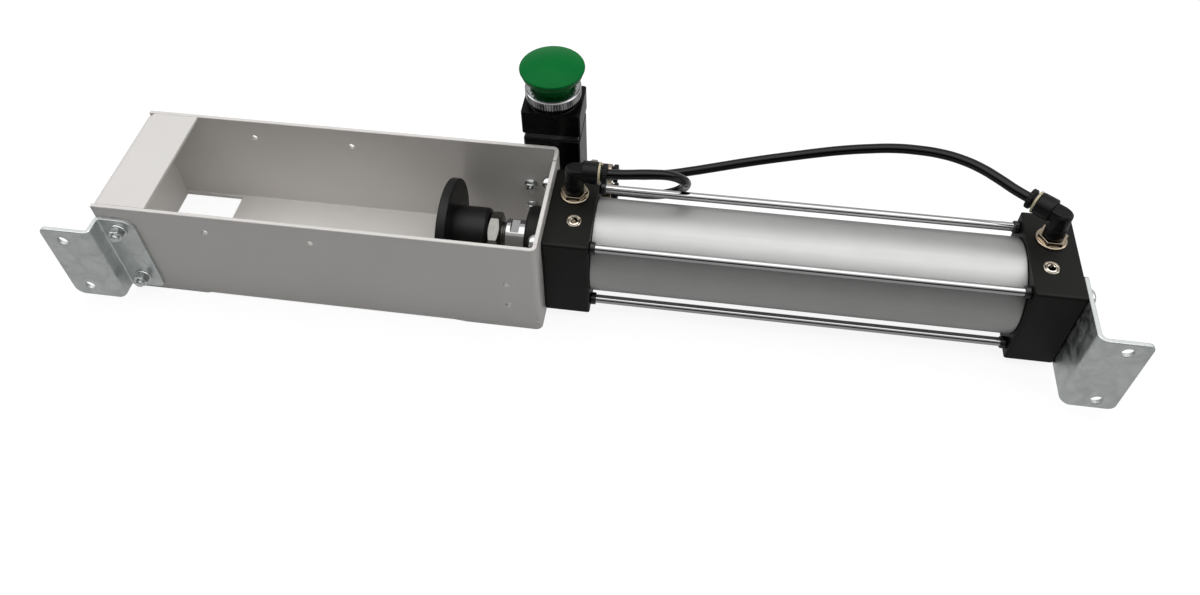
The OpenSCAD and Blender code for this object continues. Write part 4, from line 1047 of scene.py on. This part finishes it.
class CRUSHER_OT_button(bpy.types.Operator):
    """Moulds the green mushroom button"""
    bl_idname = "crusher.button"
    bl_label = "Palm button"

    def execute(self, context):
        low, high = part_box("button_cap")
        radius = (high.x - low.x) / 2
        tall = high.z - low.z
        sizes = context.scene.crusher_sizes
        neck_r = sizes.button_neck / 2
        cone_low, cone_high = sizes.cone_start, sizes.cone_end
        rim, lip = sizes.button_rim, sizes.button_lip
        # The crown is an arc through the top of the button and the top of its rounded rim
        edge_r = radius - rim
        rim_z = lip - 0.2 * rim
        rise = tall - rim_z - rim
        crown_r = (edge_r ** 2 + rise ** 2) / (2 * rise)
        reach = math.degrees(math.asin(edge_r / crown_r))
        rim_round = arc((edge_r, rim_z), rim, -60, 90 - reach, 8)
        outline = [(0, 0), (neck_r, 0), (neck_r, cone_low), (neck_r + rim, cone_low + rim / 2),
                   (radius - 2 * rim, cone_high), (radius - 1.5 * rim, cone_high + rim / 2)]
        top = arc((0, tall - crown_r), crown_r, 90 - reach, 90, 16)
        outline += rim_round + top[1:]
        cap = lathe(outline, BUTTON_STEPS)
        axis = middle("button_cap")
        set_at(cap, (axis.x, axis.y, low.z))
        settle(cap, "moulded_button", "button_set", "green_abs", ["button_cap"])
        return {"FINISHED"}


class CRUSHER_OT_valve_insides(bpy.types.Operator):
    """Finishes the stem, spool, seals and spring inside the valve"""
    bl_idname = "crusher.valve_insides"
    bl_label = "Valve insides"

    def execute(self, context):
        coat("button_stem", "zinc_plated_hardware")
        coat("spool", "turned_aluminium")
        coat("spool_seals", "nitrile_rubber")
        coat("return_spring", "spring_wire")
        return {"FINISHED"}


class CRUSHER_PT_panel(bpy.types.Panel):
    """Lists the steps that build the can crusher"""
    bl_idname = "CRUSHER_PT_panel"
    bl_label = "Can Crusher"
    bl_space_type = "VIEW_3D"
    bl_region_type = "UI"
    bl_category = "Crusher"

    def draw(self, context):
        for step in STEPS:
            self.layout.operator(step.bl_idname)
        for group in (context.scene.crusher_sizes, context.scene.crusher_colours,
                      context.scene.crusher_stage):
            box = self.layout.box()
            for name in group.bl_rna.properties.keys():
                if name not in ("rna_type", "name"):
                    box.prop(group, name)


GROUPS = {"crusher_sizes": CrusherSizes, "crusher_colours": CrusherColours,
          "crusher_stage": CrusherStage}
STEPS = (CRUSHER_OT_stage, CRUSHER_OT_hoses, CRUSHER_OT_chamber, CRUSHER_OT_brackets,
         CRUSHER_OT_fasteners, CRUSHER_OT_caps, CRUSHER_OT_barrel, CRUSHER_OT_rods,
         CRUSHER_OT_piston, CRUSHER_OT_plunger, CRUSHER_OT_needles, CRUSHER_OT_elbows,
         CRUSHER_OT_straight_fittings, CRUSHER_OT_collets, CRUSHER_OT_valve,
         CRUSHER_OT_button_ring, CRUSHER_OT_button, CRUSHER_OT_valve_insides)


def register():
    for group in GROUPS.values():
        bpy.utils.register_class(group)
    for name, group in GROUPS.items():
        setattr(bpy.types.Scene, name, bpy.props.PointerProperty(type=group))
    for made in STEPS + (CRUSHER_PT_panel,):
        bpy.utils.register_class(made)


def unregister():
    for made in reversed(STEPS + (CRUSHER_PT_panel,)):
        bpy.utils.unregister_class(made)
    for name in GROUPS:
        delattr(bpy.types.Scene, name)
    for group in reversed(list(GROUPS.values())):
        bpy.utils.unregister_class(group)


def main():
    register()
    for step in STEPS:
        name = step.bl_idname.split(".")[1]
        getattr(bpy.ops.crusher, name)()


if __name__ == "__main__":
    main()
